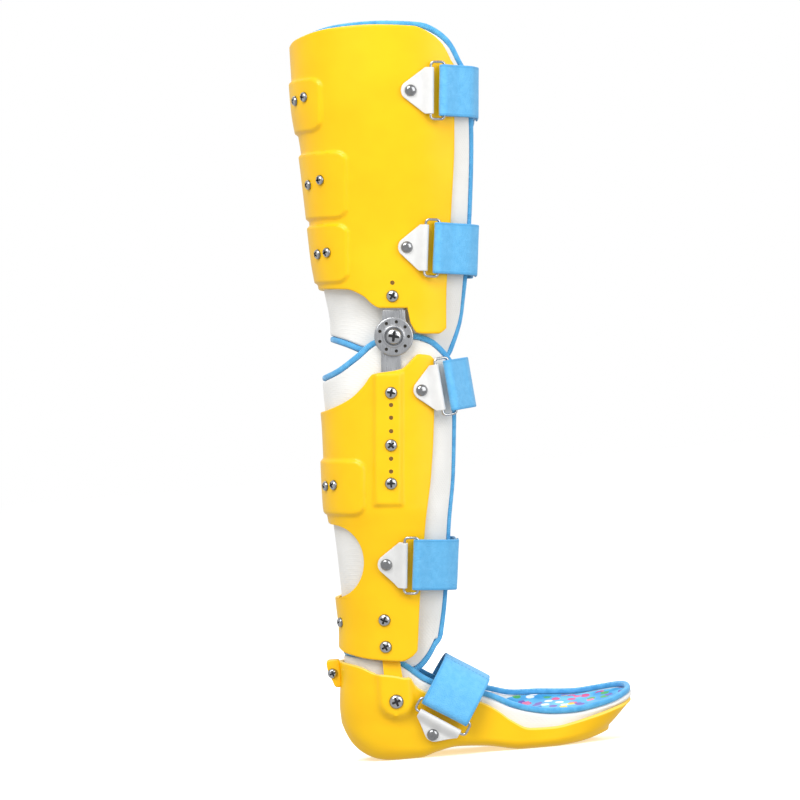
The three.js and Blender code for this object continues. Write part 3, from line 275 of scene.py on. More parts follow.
def mix(tree, share, under, over):
    """One colour over another by a share."""
    colour = add_node(tree, "Mix", 2, share, data_type="RGBA")
    feed(tree, colour.node, {6: under, 7: over})
    return colour


def bump(tree, height, strength, distance, **under):
    """A normal raised by a height, over another normal if one is given."""
    return add_node(tree, "Bump", "Normal", Height=height, Strength=strength, Distance=distance, **under)


def new_finish(name, **settings):
    """A material with its shader's inputs set, and its tree and shader to add to."""
    made = bpy.data.materials.new(name)
    made.use_nodes = True
    shader = made.node_tree.nodes["Principled BSDF"]
    feed(made.node_tree, shader, settings)
    return made, made.node_tree, shader


# Vacuum-formed polypropylene: satin gloss with the slow waves of a hot sheet drawn over plaster,
# a very fine skin, and paler sanded edges where the sheet was trimmed.
polypropylene, tree, shader = new_finish("polypropylene_yellow", IOR=1.49, Specular_IOR_Level=0.36)
place = add_node(tree, "TexCoord", "Object")
waves = noise(tree, place, 38.0, 2.0)
skin = noise(tree, place, 900.0, 3.0)
trim = add_node(tree, "SeparateXYZ", "X", place.node.outputs["UV"])
edge = fitted(tree, trim, 0.25, 1.0, 0.0, 0.55)
rough = fitted(tree, skin, 0.3, 0.7, 0.28, 0.4)
feed(tree, shader, {
    "Base Color": mix(tree, edge, ramp(tree, waves, ("#fabd00", "#ffcd0a")), linear("#ffe27a")),
    "Roughness": rough,
    "Normal": bump(tree, skin, 0.12, 0.0002, Normal=bump(tree, waves, 0.35, 0.0009)),
})

BOSS_FACE, BOSS_RADIUS, BOSS_TOP = 40.9, 13.0, 62.0
FLOOR_HALF = 20.0  # the floor inside this half-width is not drawn out


def ankle_bulge(x, z):
    """How far the wall is drawn out over an ankle strut: full inside the boss's outline, a half
    round under the axis with straight sides above it, and eased over 4 mm across it."""
    below = np.hypot(x, np.minimum(z - ANKLE_HEIGHT, 0))
    return 1 - ease(below, BOSS_RADIUS - 2.5, BOSS_RADIUS + 1.5)


def boss_rim(x):
    """The shell's rim, level across the ankle bosses, less half the wall for its rolled edge."""
    level = ease(x, -16, -12) - ease(x, 11, 15)
    return rim_shell(x) + (np.maximum(BOSS_TOP, rim_shell(x)) - rim_shell(x)) * level - SHELL / 2


foot_outer = foot_points(*FACE, 0, sole_height, boss_rim)
foot_inner = foot_points(*FACE, SHELL, lambda x: sole_height(x) + SHELL, boss_rim)
for face, reach in ((foot_outer, BOSS_FACE), (foot_inner, BOSS_FACE - SHELL)):
    wide = np.abs(face[..., 1])
    bulge = ankle_bulge(face[..., 0], face[..., 2]) * (wide > FLOOR_HALF)
    face[..., 1] = np.sign(face[..., 1]) * (wide + bulge * np.maximum(reach - wide, 0))
foot_rings = dish_rings(foot_outer, foot_inner)
foot_trim = np.concatenate([0 * CLIMB, np.ones(RIM_STEPS), 0 * CLIMB])
foot_trim = np.stack(np.broadcast_arrays(foot_trim, np.zeros((len(foot_rings), 1))), -1)


def unit(v):
    """Directions of length one."""
    return v / np.linalg.norm(v, axis=-1, keepdims=True)


def outline_normal(outline):
    """Directions across a closed outline, to the right of its run."""
    way = np.roll(outline, -1, 0) - np.roll(outline, 1, 0)
    return unit(np.stack([way[:, 1], -way[:, 0]], -1))


def rounded_plate(outline, near, far, bevel, side=1):
    """A flat plate: an outline in x and z, at |y| from near to far, with quarter-round edges. Each
    level of an edge draws the outline in along its own normals."""
    inward = -outline_normal(outline)
    x, z = outline.T
    if np.sum(x * np.roll(z, -1) - np.roll(x, -1) * z) < 0:
        inward = -inward
    turn = np.linspace(0, np.pi / 2, 5)
    inset = bevel * np.concatenate([1 - np.sin(turn), 1 - np.cos(turn)])
    level = np.concatenate([near + bevel * (1 - np.cos(turn)), far - bevel * (1 - np.sin(turn))])
    flat = outline[None] + inward[None] * inset[:, None, None]
    y = np.broadcast_to(side * level[:, None], flat.shape[:2])
    rings = np.stack([flat[..., 0], y, flat[..., 1]], -1)
    middle = np.broadcast_to(rings.mean(1, keepdims=True), rings.shape)
    sides = np.concatenate([middle[:1], rings, middle[-1:]])
    return np.concatenate([sides, sides[:, :1]], 1), None, None


def smooth_outline(corners, radius, steps=6):
    """A closed outline with each corner replaced by a curve that starts and ends a radius from it,
    or at most under half way to the next corner."""
    corner = np.array(corners, float)
    before, after = np.roll(corner, 1, 0) - corner, np.roll(corner, -1, 0) - corner
    long_in, long_out = (np.linalg.norm(v, axis=1, keepdims=True) for v in (before, after))
    start = corner + before / long_in * np.minimum(radius, 0.45 * long_in)
    end = corner + after / long_out * np.minimum(radius, 0.45 * long_out)
    t = np.linspace(0, 1, steps)[None, :, None]
    curve = (1 - t) ** 2 * start[:, None] + 2 * t * (1 - t) * corner[:, None] + t * t * end[:, None]
    return curve.reshape(-1, 2)


heel_lug = smooth_outline([(-40.4, 78), (-50.5, 78), (-50.5, 72), (-45.4, 57), (-40.4, 57)], 2.5)
make_piece(
    "foot_shell_formed",
    [(foot_rings, foot_trim, None), rounded_plate(heel_lug, -8, 8, 1.2)],
    polypropylene, "foot", ["foot_shell"],
)

# Foot liner
# A dish of white closed-cell foam with a knitted face, glued inside the shell. It stands past the
# shell's rim, where its edge is bound with tape.
foam, tree, shader = new_finish(
    "foam_white_knit_face", Roughness=0.92, Sheen_Weight=0.25, Sheen_Roughness=0.5
)
# The knit's ribs are about 0.6 mm apart on the real cloth, drawn here at 1.5 mm so that they show.
WAVE = 0.314  # the length of a wave texture's band at a scale of one
cloth = add_node(tree, "TexCoord", "Object")
ribs, rows = (
    add_node(tree, "TexWave", "Fac", cloth, bands_direction=way, Scale=WAVE / 0.0015, Distortion=bend)
    for way, bend in (("Z", 1.2), ("DIAGONAL", 1.0))
)
dimples = noise(tree, cloth, 55.0, 3.0)
soft = bump(tree, dimples, 0.4, 0.0012)
feed(tree, shader, {
    "Base Color": ramp(tree, dimples, ("#e2e1dd", "#f1f0ed")),
    "Normal": bump(tree, maths(tree, "MULTIPLY", ribs, rows), 0.25, 0.0003, Normal=soft),
})

UNDER_GAP = 0.8


def lined_floor(x):
    """The underside of the liner, just over the shell's floor."""
    return sole_height(x) + SHELL + UNDER_GAP


def lined_rim(x):
    """The liner's rim, less half its thickness for the rolled edge."""
    return rim_liner(x) - LINER / 2


LINED = SHELL + 1
liner_outer = foot_points(*FACE, LINED, lined_floor, lined_rim)
liner_inner = foot_points(*FACE, LINED + LINER, bed_height, lined_rim, banked=True)
foot_liner = make_piece(
    "foot_liner_foam", [(dish_rings(liner_outer, liner_inner), None, None)],
    foam, "foot", ["foot_liner"],
)

# Insole
# A loose footbed of foam under printed cloth, laid on the liner's bed. The print is a scatter of
# small plain spots and diamonds on blue.
printed, tree, shader = new_finish("cotton_printed_blue", Roughness=0.8, Sheen_Weight=0.2)
flat = add_node(tree, "TexCoord", "UV")
shifted = add_node(tree, "Mapping", "Vector", flat, Location=(5.0, 3.0, 0.0), Rotation=(0.0, 0.0, 0.6))
ground = noise(tree, flat, 0.06, 1.0, noise_dimensions="2D")
colour = ramp(tree, ground, ("#3f9fd8", "#6cc4ee"), (0.35, 0.65))
PRINT = [  # outline, coordinates, spacing in mm, scatter, share filled, inks
    ("EUCLIDEAN", flat, 11, 0.75, 0.30, ("#e0508c", "#f2f4f6", "#4fae62", "#f2f4f6", "#7d62b8")),
    ("MANHATTAN", shifted, 16, 0.8, 0.24, ("#7a5fb4", "#58b86a", "#ef7aa6", "#2f6fc0", "#f4d64a")),
]
for outline, lie, spacing, scatter, filled, inks in PRINT:
    spots = add_node(
        tree, "TexVoronoi", "Distance", lie, voronoi_dimensions="2D", distance=outline,
        Scale=1 / spacing, Randomness=scatter,
    )
    hue = add_node(tree, "SeparateColor", "Red", spots.node.outputs["Color"])
    ink = ramp(tree, hue, inks, np.arange(len(inks)) / len(inks), "CONSTANT")
    colour = mix(tree, maths(tree, "LESS_THAN", spots, filled), colour, ink)
weave = add_node(tree, "TexWave", "Fac", flat, Scale=WAVE / 1.1, Distortion=0.6)
feed(tree, shader, {"Base Color": colour, "Normal": bump(tree, weave, 0.25, 0.0002)})

BED = LINED + LINER
BED_FLAT, BED_EDGE = 0.45, 0.7  # shares of the cover on the flat bed, and up to the bed's edge
COVER_CLEAR, COVER_RISE, PAD_LIFT, COVER_LIFT, PRINT_CLIMB = 0.4, 0.9, 2.2, 0.7, 10.0
bed_share = np.linspace(0, 1, 49)
bed_turn = np.clip((bed_share - BED_FLAT) / (BED_EDGE - BED_FLAT), 0, 1) * np.pi / 2
bed_across = np.minimum(bed_share / BED_FLAT, 1) * FLAT_SHARE + (1 - FLAT_SHARE) * np.sin(bed_turn)
ahead_of_arch = ease((1 - np.cos(np.pi * STOP)) / 2, 0.5, 0.62)
bed_climb = np.maximum(bed_share - BED_EDGE, 0) / (1 - BED_EDGE) * ahead_of_arch
pad_edge = np.sqrt(1 - np.minimum(bed_share / BED_EDGE, 1) ** 8)
free_edge = np.sqrt(1 - bed_share ** 12)


def insole_face(lift, cover):
    """The footbed's face: its foam lies a lift over the liner's bed, and its cover goes on up the
    forefoot's wall to the rim, closing on the lower face at its edge."""
    laid = foot_points(
        STOP, SIDE, bed_across, 1 - np.cos(bed_turn), bed_climb, BED + COVER_CLEAR + cover * free_edge,
        bed_height, lambda x: rim_liner(x) - 0.3, banked=True,
    )
    laid[..., 2] += COVER_RISE + lift * pad_edge * (1 - bed_climb)
    return laid


top, under = insole_face(PAD_LIFT, COVER_LIFT), insole_face(0.0, 0.0)
cut = np.stack([top[..., 0], top[..., 1] + SIDE * PRINT_CLIMB * bed_climb], -1)
insole = make_piece(
    "insole_printed", [(top, cut, None), (under, cut, None)],
    printed, "foot", ["insole"],
)

# Foot binding
# Light blue woven tape, folded over the liner's rim and sewn through with a running stitch.
tape, tree, shader = new_finish("polyester_tape_blue", Roughness=0.75, Sheen_Weight=0.3)
# Ribs across the tape every 1.4 mm, drawn about twice as coarse as woven so that they show.
lay = add_node(tree, "TexCoord", "UV")
cross = add_node(tree, "TexWave", "Fac", lay, Scale=WAVE / 1.4, Distortion=0.8)
mottle = noise(tree, lay, 0.15, 3.0, noise_dimensions="2D")
dye = ramp(tree, mottle, ("#459fd8", "#5cb4e8"), (0.3, 0.7))
# The stitch lies near one edge of the fold: 2.8 mm of thread out of every 4 mm.
along = add_node(tree, "SeparateXYZ", "X", lay)
off = maths(tree, "ABSOLUTE", maths(tree, "SUBTRACT", along.node.outputs["Y"], 1.4))
dash = maths(tree, "GREATER_THAN", maths(tree, "PINGPONG", along, 2.0), 0.6)
thread = maths(tree, "MULTIPLY", dash, maths(tree, "LESS_THAN", off, 0.4))
rise = maths(tree, "MULTIPLY_ADD", thread, 0.8, cross)
feed(tree, shader, {
    "Base Color": mix(tree, thread, dye, linear("#86c4e8")), "Normal": bump(tree, rise, 0.5, 0.0004),
})

TAPE_HALF, TAPE_THICK, TAPE_GAP = 2.2, 2.2, 0.3
TAPE_STEP, TAPE_SOFT, TAPE_ROUND = 0.9, 2.6, 16.0


def run_lengths(points):
    """The distance along a run at each of its points."""
    return np.concatenate([[0], np.cumsum(np.linalg.norm(np.diff(points, axis=0), axis=1))])


def points_at(at, lengths, points):
    """The points of a run at given distances along it."""
    return np.stack([np.interp(at, lengths, column) for column in points.T], -1)


def even_loop(points, step, soften):
    """A closed run of points at even steps, softened by a Gaussian of the given reach along it."""
    closed = np.concatenate([points, points[:1]])
    reach = run_lengths(closed)
    count = int(reach[-1] / step)
    even = points_at(np.arange(count) * reach[-1] / count, reach, closed)
    waves_along = np.fft.rfftfreq(count, reach[-1] / count)
    keep = np.exp(-2 * (np.pi * waves_along * soften) ** 2)[:, None]
    return np.fft.irfft(np.fft.rfft(even, axis=0) * keep, count, axis=0)


def signed_power(value, power):
    """A power of a value's size, with its sign kept."""
    return np.sign(value) * np.abs(value) ** power


def binding_tube(edge_run, normals):
    """Folded tape along a closed edge: a flat oval section carried along the run, its long side
    across the edge, with small gathers. u is millimetres along it and v millimetres round it."""
    run = even_loop(np.concatenate([edge_run, normals], 1), TAPE_STEP, TAPE_SOFT)
    path, normal = run[:, :3], unit(run[:, 3:])
    out = unit(np.cross(np.roll(path, -1, 0) - np.roll(path, 1, 0), normal))
    turn = np.linspace(0, 2 * np.pi, 25)
    flat_out, flat_up = signed_power(np.cos(turn), 0.8), signed_power(np.sin(turn), 0.7)
    distance = np.arange(len(path) + 1) * TAPE_STEP
    gather = 1 + 0.03 * np.sin(distance * 0.8) * np.sin(distance * 0.13)
    path, normal, out = (np.concatenate([v, v[:1]]) for v in (path, normal, out))
    centre = path + out * (TAPE_HALF + TAPE_GAP)
    tube = (
        centre[:, None] + out[:, None] * (TAPE_HALF * flat_out)[None, :, None]
        + normal[:, None] * (TAPE_THICK * flat_up)[None, :, None] * gather[:, None, None]
    )
    u, v = np.broadcast_arrays(distance[:, None], (turn / (2 * np.pi) * TAPE_ROUND)[None])
    return tube, np.stack([u, v], -1), None


open_stops = np.concatenate([STATIONS, STATIONS[::-1][1:-1]])
open_sides = np.repeat([-1.0, 1.0], [len(STATIONS), len(STATIONS) - 2])
rim_ends = [
    foot_points(open_stops, open_sides, 1.0, 1.0, 1.0, inset, floor, rim_liner, banked)
    for inset, floor, banked in ((LINED, lined_floor, False), (BED, bed_height, True))
]
foot_tape = binding_tube((rim_ends[0] + rim_ends[1]) / 2, unit(rim_ends[1] - rim_ends[0]))
make_piece("foot_binding_tape", [foot_tape], tape, "foot", ["foot_binding"])

# Ankle struts
# Flat blades of the same yellow plastic, one each side, screwed inside the calf shell and turning
# on a pivot in the foot shell's bosses.
LEAN = np.radians(5)


def leaned(points):
    """Points of the leg, whose own frame starts at the ankle axis and leans forward by 5 degrees,
    in the frame of the whole brace."""
    x, y, z = np.moveaxis(points, -1, 0)
    lean_x = x * np.cos(LEAN) + z * np.sin(LEAN)
    return np.stack([lean_x, y, ANKLE_HEIGHT + z * np.cos(LEAN) - x * np.sin(LEAN)], -1)


def on_leg(patches):
    """Grids of the leg with their place in the whole brace."""
    return [(leaned(grid), uv, kept) for grid, uv, kept in patches]


STRUT_HALF, STRUT_INNER, STRUT_THICK, STRUT_BEVEL = 7.5, 34.6, 2.8, 0.6
STRUT_SHIFT, STRUT_TOP = -8.8, 67.0
half_turn = np.linspace(np.pi, 2 * np.pi, 25)
strut_outline = np.concatenate([
    STRUT_HALF * np.stack([np.cos(half_turn), np.sin(half_turn)], -1),
    smooth_outline(
        [(STRUT_SHIFT + STRUT_HALF, STRUT_TOP), (STRUT_SHIFT - STRUT_HALF, STRUT_TOP)], 2
    )[[0, -1]],
])
SIDES = [(-1, ""), (1, "_inner")]
for side, tail in SIDES:
    blade = rounded_plate(strut_outline, STRUT_INNER, STRUT_INNER + STRUT_THICK, STRUT_BEVEL, side)
    make_piece(
        "ankle_blade" + tail, on_leg([blade]),
        polypropylene, "calf", ["ankle_strut" + tail],
    )

# Calf liner
# White foam wrapped round the calf and open at the front, trimmed higher at the knee's sides and
# cut back over the instep. It reaches past the shell all round.
CALF_SECTIONS = [  # height over the ankle, back, front, half-width
    (12, -32, 40, 28.4), (48, -32, 45, 28.4), (72, -40.5, 46, 33.6), (105, -44.5, 46, 43),
    (131, -47.5, 47, 48), (146, -50, 48, 50), (206, -53, 52, 50), (240, -56, 56, 50),
    (290, -57, 57, 50),
]
CALF_FRONT = [  # height, x of the binding's outer edge, x of the shell's edge
    (14, 22.5, 14), (29, 29.5, 15), (47, 35.4, 16), (76, 38.6, 17), (134, 41, 21), (170, 44, 25),
    (207, 45, 27), (262, 46, 28),
]
CALF_LINER_HEAD = [  # x, height
    (-60, 238), (-45, 244.5), (-30, 255), (-14, 267), (12, 271), (24, 268), (34, 260), (46, 244),
]
CALF_LINER_FOOT = [(-36, 22), (0, 21.5), (14, 25.5), (22, 33.5), (29, 46)]
PACE = 55.0  # millimetres round the leg for each radian
WALL_TURN, WALL_TALL = 4.6, 220.0  # radians round a wall, and its usual height
PUFF, PUFF_EASE = 0.35, 14.0


def leg_surface(sections, standoff=None):
    """The leg's surface by an angle from the back and a height: each level is a superellipse
    between a back, a front and two sides, pushed out from the liner's outer face."""
    back, front, half = (curve_through(sections, k) for k in (1, 2, 3))
    clear = [curve_through(standoff, k) for k in (1, 2)] if standoff else [lambda z: 0 * z] * 2

    def surface(angle, z, out=0.0):
        angle, z = np.broadcast_arrays(np.asarray(angle, float), np.asarray(z, float))
        rear, fore = back(z) - clear[0](z) - out, front(z) + clear[0](z) + out
        wide = half(z) + clear[1](z) + out
        along, aside = (signed_power(part(angle), 2 / ROUNDNESS) for part in (np.cos, np.sin))
        return np.stack([(rear + fore) / 2 - (fore - rear) / 2 * along, -wide * aside, z], -1)

    return surface


def angle_at(surface, x, z, out=0.0):
    """The angle at which a level reaches x, by halving."""
    low = np.zeros(np.broadcast(x, z).shape)
    high = low + np.pi
    for _ in range(PASSES):
        middle = (low + high) / 2
        short = surface(middle, z, out)[..., 0] < x
        low, high = np.where(short, middle, low), np.where(short, high, middle)
    return (low + high) / 2


def front_edge(surface, rows, column, margin=0.0):
    """The angle of a front edge drawn from the side, drawn back along the surface by a margin."""
    heights = np.linspace(rows[0][0], rows[-1][0], 400)
    angle = angle_at(surface, curve_through(rows, column)(heights), heights)
    pace = np.linalg.norm(surface(angle, heights) - surface(angle - 0.01, heights), axis=-1) / 0.01
    return lambda z: np.interp(z, heights, angle - margin / pace)


def height_on(surface, edge, column, profile):
    """The height at which a column of the wall meets an edge drawn from the side."""
    z = profile(0.0) + 0 * column
    for _ in range(30):
        z = (z + profile(surface(column * edge(z), z)[..., 0])) / 2
    return z


def edge_shares(count, margin):
    """Shares from 0 to 1, evenly spread but for a few in a quarter round at each end."""
    step = margin * (1 - np.cos(np.linspace(0, np.pi / 2, 6)))
    return np.concatenate([step[:-1], np.linspace(margin, 1 - margin, count), 1 - step[::-1][1:]])


def half_round(distance, radius):
    """The share of a wall's thickness left at a distance from its edge: a quarter circle."""
    return np.sqrt(1 - (1 - np.clip(distance / radius, 0, 1)) ** 2)


def rounded_wall(outer, inner, share):
    """A wall's two faces, drawn together to its middle where the share runs out at an edge. u runs
    from 0 on the open wall to 1 at its edge."""
    middle, half = (outer + inner) / 2, (outer - inner) / 2 * share[..., None]
    uv = np.stack([1 - share, 0 * share], -1)
    return [(middle + half, uv, None), (middle - half, uv, None)]


def wrapped_wall(surface, edge, foot, head, columns, rows, thick):
    """The grid of a wall round the leg, between its two front edges and its lower and upper edge:
    angle, height, and the distance to the nearest edge."""
    column = 2 * edge_shares(columns, thick / 2 / (WALL_TURN * PACE)) - 1
    low, high = height_on(surface, edge, column, foot), height_on(surface, edge, column, head)
    up = edge_shares(rows, thick / 2 / WALL_TALL)[None]
    z = low[:, None] + (high - low)[:, None] * up
    angle = column[:, None] * edge(z)
    ahead = (edge(z) - np.abs(angle)) * PACE
    distance = np.minimum(np.minimum(z - low[:, None], high[:, None] - z), ahead)
    return angle, z, distance


def liner_and_edge(surface, edge, foot, head):
    """A liner's two faces, and the closed run round its edge with its normals."""
    angle, z, distance = wrapped_wall(surface, edge, foot, head, 150, 110, LINER)
    puff = PUFF * np.sin(angle * 9) * np.sin(z * 0.11) * np.clip(distance / PUFF_EASE, 0, 1)
    share = half_round(distance, LINER / 2)
    faces = rounded_wall(surface(angle, z, puff), surface(angle, z, puff - LINER), share)
    round_angle, round_z = (
        np.concatenate([g[:-1, 0], g[-1, :-1], g[:0:-1, -1], g[0, :0:-1]]) for g in (angle, z)
    )
    run = surface(round_angle, round_z, -LINER / 2)
    normal = surface(round_angle, round_z, 1 - LINER / 2) - run
    return faces, binding_tube(run, unit(normal))


TAPE_WIDTH = 2 * TAPE_HALF
calf_skin = leg_surface(CALF_SECTIONS)
calf_faces, calf_tape = liner_and_edge(
    calf_skin, front_edge(calf_skin, CALF_FRONT, 1, TAPE_WIDTH),
    curve_through(CALF_LINER_FOOT), curve_through(CALF_LINER_HEAD),
)
calf_liner = make_piece(
    "calf_liner_foam", on_leg(calf_faces), foam, "calf", ["calf_liner"]
)
make_piece("calf_binding_tape", on_leg([calf_tape]), tape, "calf", ["calf_binding"])

# Calf shell
# Yellow polypropylene drawn over the calf's cast, with a raised pad behind, a rib over each knee
# bar and an oval window cut out behind the lower calf.
CALF_STANDOFF = [  # height, clearance before and behind, clearance at the sides
    (12, 8.2, 11.7), (48, 8.8, 11.7), (72, 2.6, 7.2), (105, 1, 1.2), (146, 0.8, 1.2), (285, 0.8, 0.8),
]
CALF_SHELL_HEAD = [
    (-60, 215), (-48, 219), (-33, 227), (-24, 236), (-17, 245), (-2, 247.5), (4, 249), (8, 252.5),
    (12, 257), (16, 260), (24, 259), (30, 252),
]
CALF_SHELL_FOOT = [(-45, 41), (-36, 35), (-15, 31), (4, 30), (12, 34), (18, 42)]
CALF_PADS = [(139, 181, -23)]  # low edge, high edge, how far forward
WINDOW_X, WINDOW_Z, WINDOW_REACH, WINDOW_HALF = -50.0, 104.0, 25.0, 28.0
WINDOW_COLUMN, WINDOW_PACE, WINDOW_FADE, TINY = 0.42, 75.0, 34.0, 1e-9
LEVEL_LOW, LEVEL_HIGH = 60.0, 205.0  # the rows between these heights are level
PAD_RISE, PAD_CORNER = 2.2, 9.0
RIB_FACE, RIB_SOFT, POCKET_FACE, POCKET_SOFT, FLANK = 56.4, 2.6, 53.3, 0.6, 30.0
RIB_BOX = (-17.5, 5), (146, 247)  # x span and height span of the rib, then of the pocket inside it
POCKET_BOX = (-12.5, 4.5), (150, 270)
calf_cast = leg_surface(CALF_SECTIONS, CALF_STANDOFF)
calf_edge = front_edge(calf_cast, CALF_FRONT, 2)


def pads_rise(x, z, pads):
    """How far the moulded pads stand up: full inside a rounded outline, eased down at its edge."""
    rise = 0 * x
    for low, high, front in pads:
        past = np.clip((x - front + PAD_CORNER) / PAD_CORNER, 0, 1)
        corner = PAD_CORNER * (1 - np.sqrt(1 - 0.98 * past * past))
        inside = np.minimum(np.minimum(z - low - corner, high - corner - z), front - x)
        rise = np.maximum(rise, PAD_RISE * ease(inside, -0.5, 1.7))
    return rise


def window_angle(z):
    """The angle of the window's edge at a height, from an oval drawn from the side."""
    tall = np.sqrt(np.clip(1 - ((z - WINDOW_Z) / WINDOW_HALF) ** 2, 0, 1))
    return angle_at(calf_cast, WINDOW_X + WINDOW_REACH * tall, z, SHELL)


def drawn_to(points, x_span, z_span, face, soft):
    """A flat-faced rib: the side wall drawn out to |y| = face inside a box seen from the side."""
    x, y, z = np.moveaxis(points, -1, 0)
    inside = np.minimum.reduce([x - x_span[0], x_span[1] - x, z - z_span[0], z_span[1] - z])
    drawn = np.abs(y) + ease(inside, -0.5, soft) * np.maximum(face - np.abs(y), 0)
    return np.stack([x, np.sign(y) * np.where(np.abs(y) > FLANK, drawn, np.abs(y)), z], -1)


# Rows crowd at the lower and upper edges and at the window's; columns at the front edges and the
# window's. Inside the window rows the columns follow its edge.
quarter = SHELL / 2 * (1 - np.cos(np.linspace(0, np.pi / 2, 6)))
window_low, window_high = WINDOW_Z - WINDOW_HALF, WINDOW_Z + WINDOW_HALF
fixed_rows = np.concatenate([
    np.linspace(LEVEL_LOW, window_low - SHELL / 2, 12)[:-1], window_low - quarter[::-1],
    WINDOW_Z - WINDOW_HALF * np.cos(np.linspace(0, np.pi, 45))[1:-1],
    window_high + quarter, np.linspace(window_high + SHELL / 2, LEVEL_HIGH, 56)[1:],
])
beyond = quarter / WINDOW_PACE * (1 - WINDOW_COLUMN)
front_step = quarter / (2.1 * PACE)
one_side = np.concatenate([
    np.linspace(0, WINDOW_COLUMN, 22)[:-1], WINDOW_COLUMN + beyond,
    np.linspace(WINDOW_COLUMN + beyond[-1], 1 - front_step[-1], 60)[1:-1], 1 - front_step[::-1],
])
calf_column = np.concatenate([-one_side[:0:-1], one_side])
calf_low = height_on(calf_cast, calf_edge, calf_column, curve_through(CALF_SHELL_FOOT))[:, None]
calf_high = height_on(calf_cast, calf_edge, calf_column, curve_through(CALF_SHELL_HEAD))[:, None]
lower_share, upper_share = np.linspace(0, 1, 16)[None, :-1], np.linspace(0, 1, 26)[None, 1:]
calf_z = np.concatenate([
    calf_low + quarter[None, :-1],
    calf_low + quarter[-1] + (LEVEL_LOW - calf_low - quarter[-1]) * lower_share,
    np.broadcast_to(fixed_rows[None], (len(calf_column), len(fixed_rows))),
    LEVEL_HIGH + (calf_high - quarter[-1] - LEVEL_HIGH) * upper_share,
    calf_high - quarter[None, -2::-1],
], 1)
in_window = (calf_z >= window_low - TINY) & (calf_z <= window_high + TINY)
beyond_rows = np.maximum(np.maximum(window_low - calf_z, calf_z - window_high), 0)
window_turn = window_angle(np.clip(calf_z, window_low, window_high))
window_turn += (WINDOW_COLUMN * calf_edge(calf_z) - window_turn) * ease(beyond_rows, 0, WINDOW_FADE)
size = np.abs(calf_column)[:, None]
ahead = np.clip((size - WINDOW_COLUMN) / (1 - WINDOW_COLUMN), 0, 1)
swung = np.where(
    size < WINDOW_COLUMN, window_turn * size / WINDOW_COLUMN,
    window_turn + (calf_edge(calf_z) - window_turn) * ahead,
)
calf_angle = np.sign(calf_column)[:, None] * swung
from_window = np.hypot(np.maximum(swung - window_turn, 0) * PACE, beyond_rows)
from_edge = np.minimum.reduce([
    calf_z - calf_low, calf_high - calf_z, (calf_edge(calf_z) - swung) * PACE, from_window,
])
side_x = calf_cast(calf_angle, calf_z, SHELL)[..., 0]
calf_outer = calf_cast(calf_angle, calf_z, SHELL + pads_rise(side_x, calf_z, CALF_PADS))
calf_outer = drawn_to(calf_outer, *RIB_BOX, RIB_FACE, RIB_SOFT)
calf_inner = drawn_to(calf_cast(calf_angle, calf_z), *POCKET_BOX, POCKET_FACE, POCKET_SOFT)
hole = in_window & (size <= WINDOW_COLUMN + TINY)
open_quad = hole[:-1, :-1] & hole[1:, :-1] & hole[:-1, 1:] & hole[1:, 1:]
calf_walls = rounded_wall(calf_outer, calf_inner, half_round(np.maximum(from_edge, 0), SHELL / 2))
make_piece(
    "calf_shell_formed", on_leg([(grid, uv, ~open_quad) for grid, uv, _ in calf_walls]),
    polypropylene, "calf", ["calf_shell"],
)

# Thigh liner
# White foam round the thigh, open at the front. Its foot tucks inside the calf liner behind the
# knee and its upper edge is highest at the sides.
THIGH_SECTIONS = [  # height over the ankle, back, front, half-width
    (242, -49, 49, 43.9), (284, -50.5, 54, 44.2), (316, -56.5, 61.5, 50.2), (330, -59, 63, 50.5),
    (371, -63.5, 67, 57.5), (416, -69, 69, 63), (446, -74, 71, 66), (512, -78.5, 72, 68),
]
THIGH_FRONT = [
    (246, 34, 36), (262, 42, 36), (294, 51, 36), (371, 57, 40), (417, 58, 42), (465, 56.5, 42),
    (512, 52, 38),
]
THIGH_TOP = [  # x, height
    (-90, 484), (-82, 490), (-74, 496), (-48, 502), (-16, 504), (12, 503), (24, 498), (33, 490),
    (40, 477), (56, 456),
]
THIGH_LINER_FOOT = [(-60, 277), (-40, 271), (-20, 264), (20, 260), (36, 260), (44, 267), (52, 278)]
LINER_AHEAD, LINER_BELOW = 6.0, 1.5
thigh_skin = leg_surface(THIGH_SECTIONS)
thigh_top = curve_through(THIGH_TOP)
thigh_faces, thigh_tape = liner_and_edge(
    thigh_skin, front_edge(thigh_skin, THIGH_FRONT, 1, TAPE_WIDTH),
    curve_through(THIGH_LINER_FOOT), lambda x: thigh_top(x - LINER_AHEAD) - LINER_BELOW,
)
thigh_liner = make_piece(
    "thigh_liner_foam", on_leg(thigh_faces), foam, "thigh", ["thigh_liner"]
)
make_piece("thigh_binding_tape", on_leg([thigh_tape]), tape, "thigh", ["thigh_binding"])

# Thigh shell
# Yellow polypropylene drawn over the thigh's cast, with three raised pads behind and a notch each
# side over the neck of the knee hinge.
THIGH_STANDOFF = [
    (242, 4, 10.6), (284, 3.2, 10.3), (316, 0.8, 5), (330, 0.8, 4.6), (371, 1, 1), (512, 1, 1),
]
THIGH_SHELL_FOOT = [
    (-62, 309), (-36, 308), (-24, 303), (-17, 296.5), (-12, 294), (8, 294), (8.6, 285.6), (10.6, 282),
    (12.4, 278.6), (14, 276), (20, 275), (30, 275), (38, 281),
]
THIGH_PADS = [(426, 466, -55), (361, 411, -36), (313, 357, -35)]
thigh_cast = leg_surface(THIGH_SECTIONS, THIGH_STANDOFF)
thigh_angle, thigh_z, thigh_distance = wrapped_wall(
    thigh_cast, front_edge(thigh_cast, THIGH_FRONT, 2), curve_through(THIGH_SHELL_FOOT), thigh_top,
    230, 170, SHELL,
)
side_x = thigh_cast(thigh_angle, thigh_z, SHELL)[..., 0]
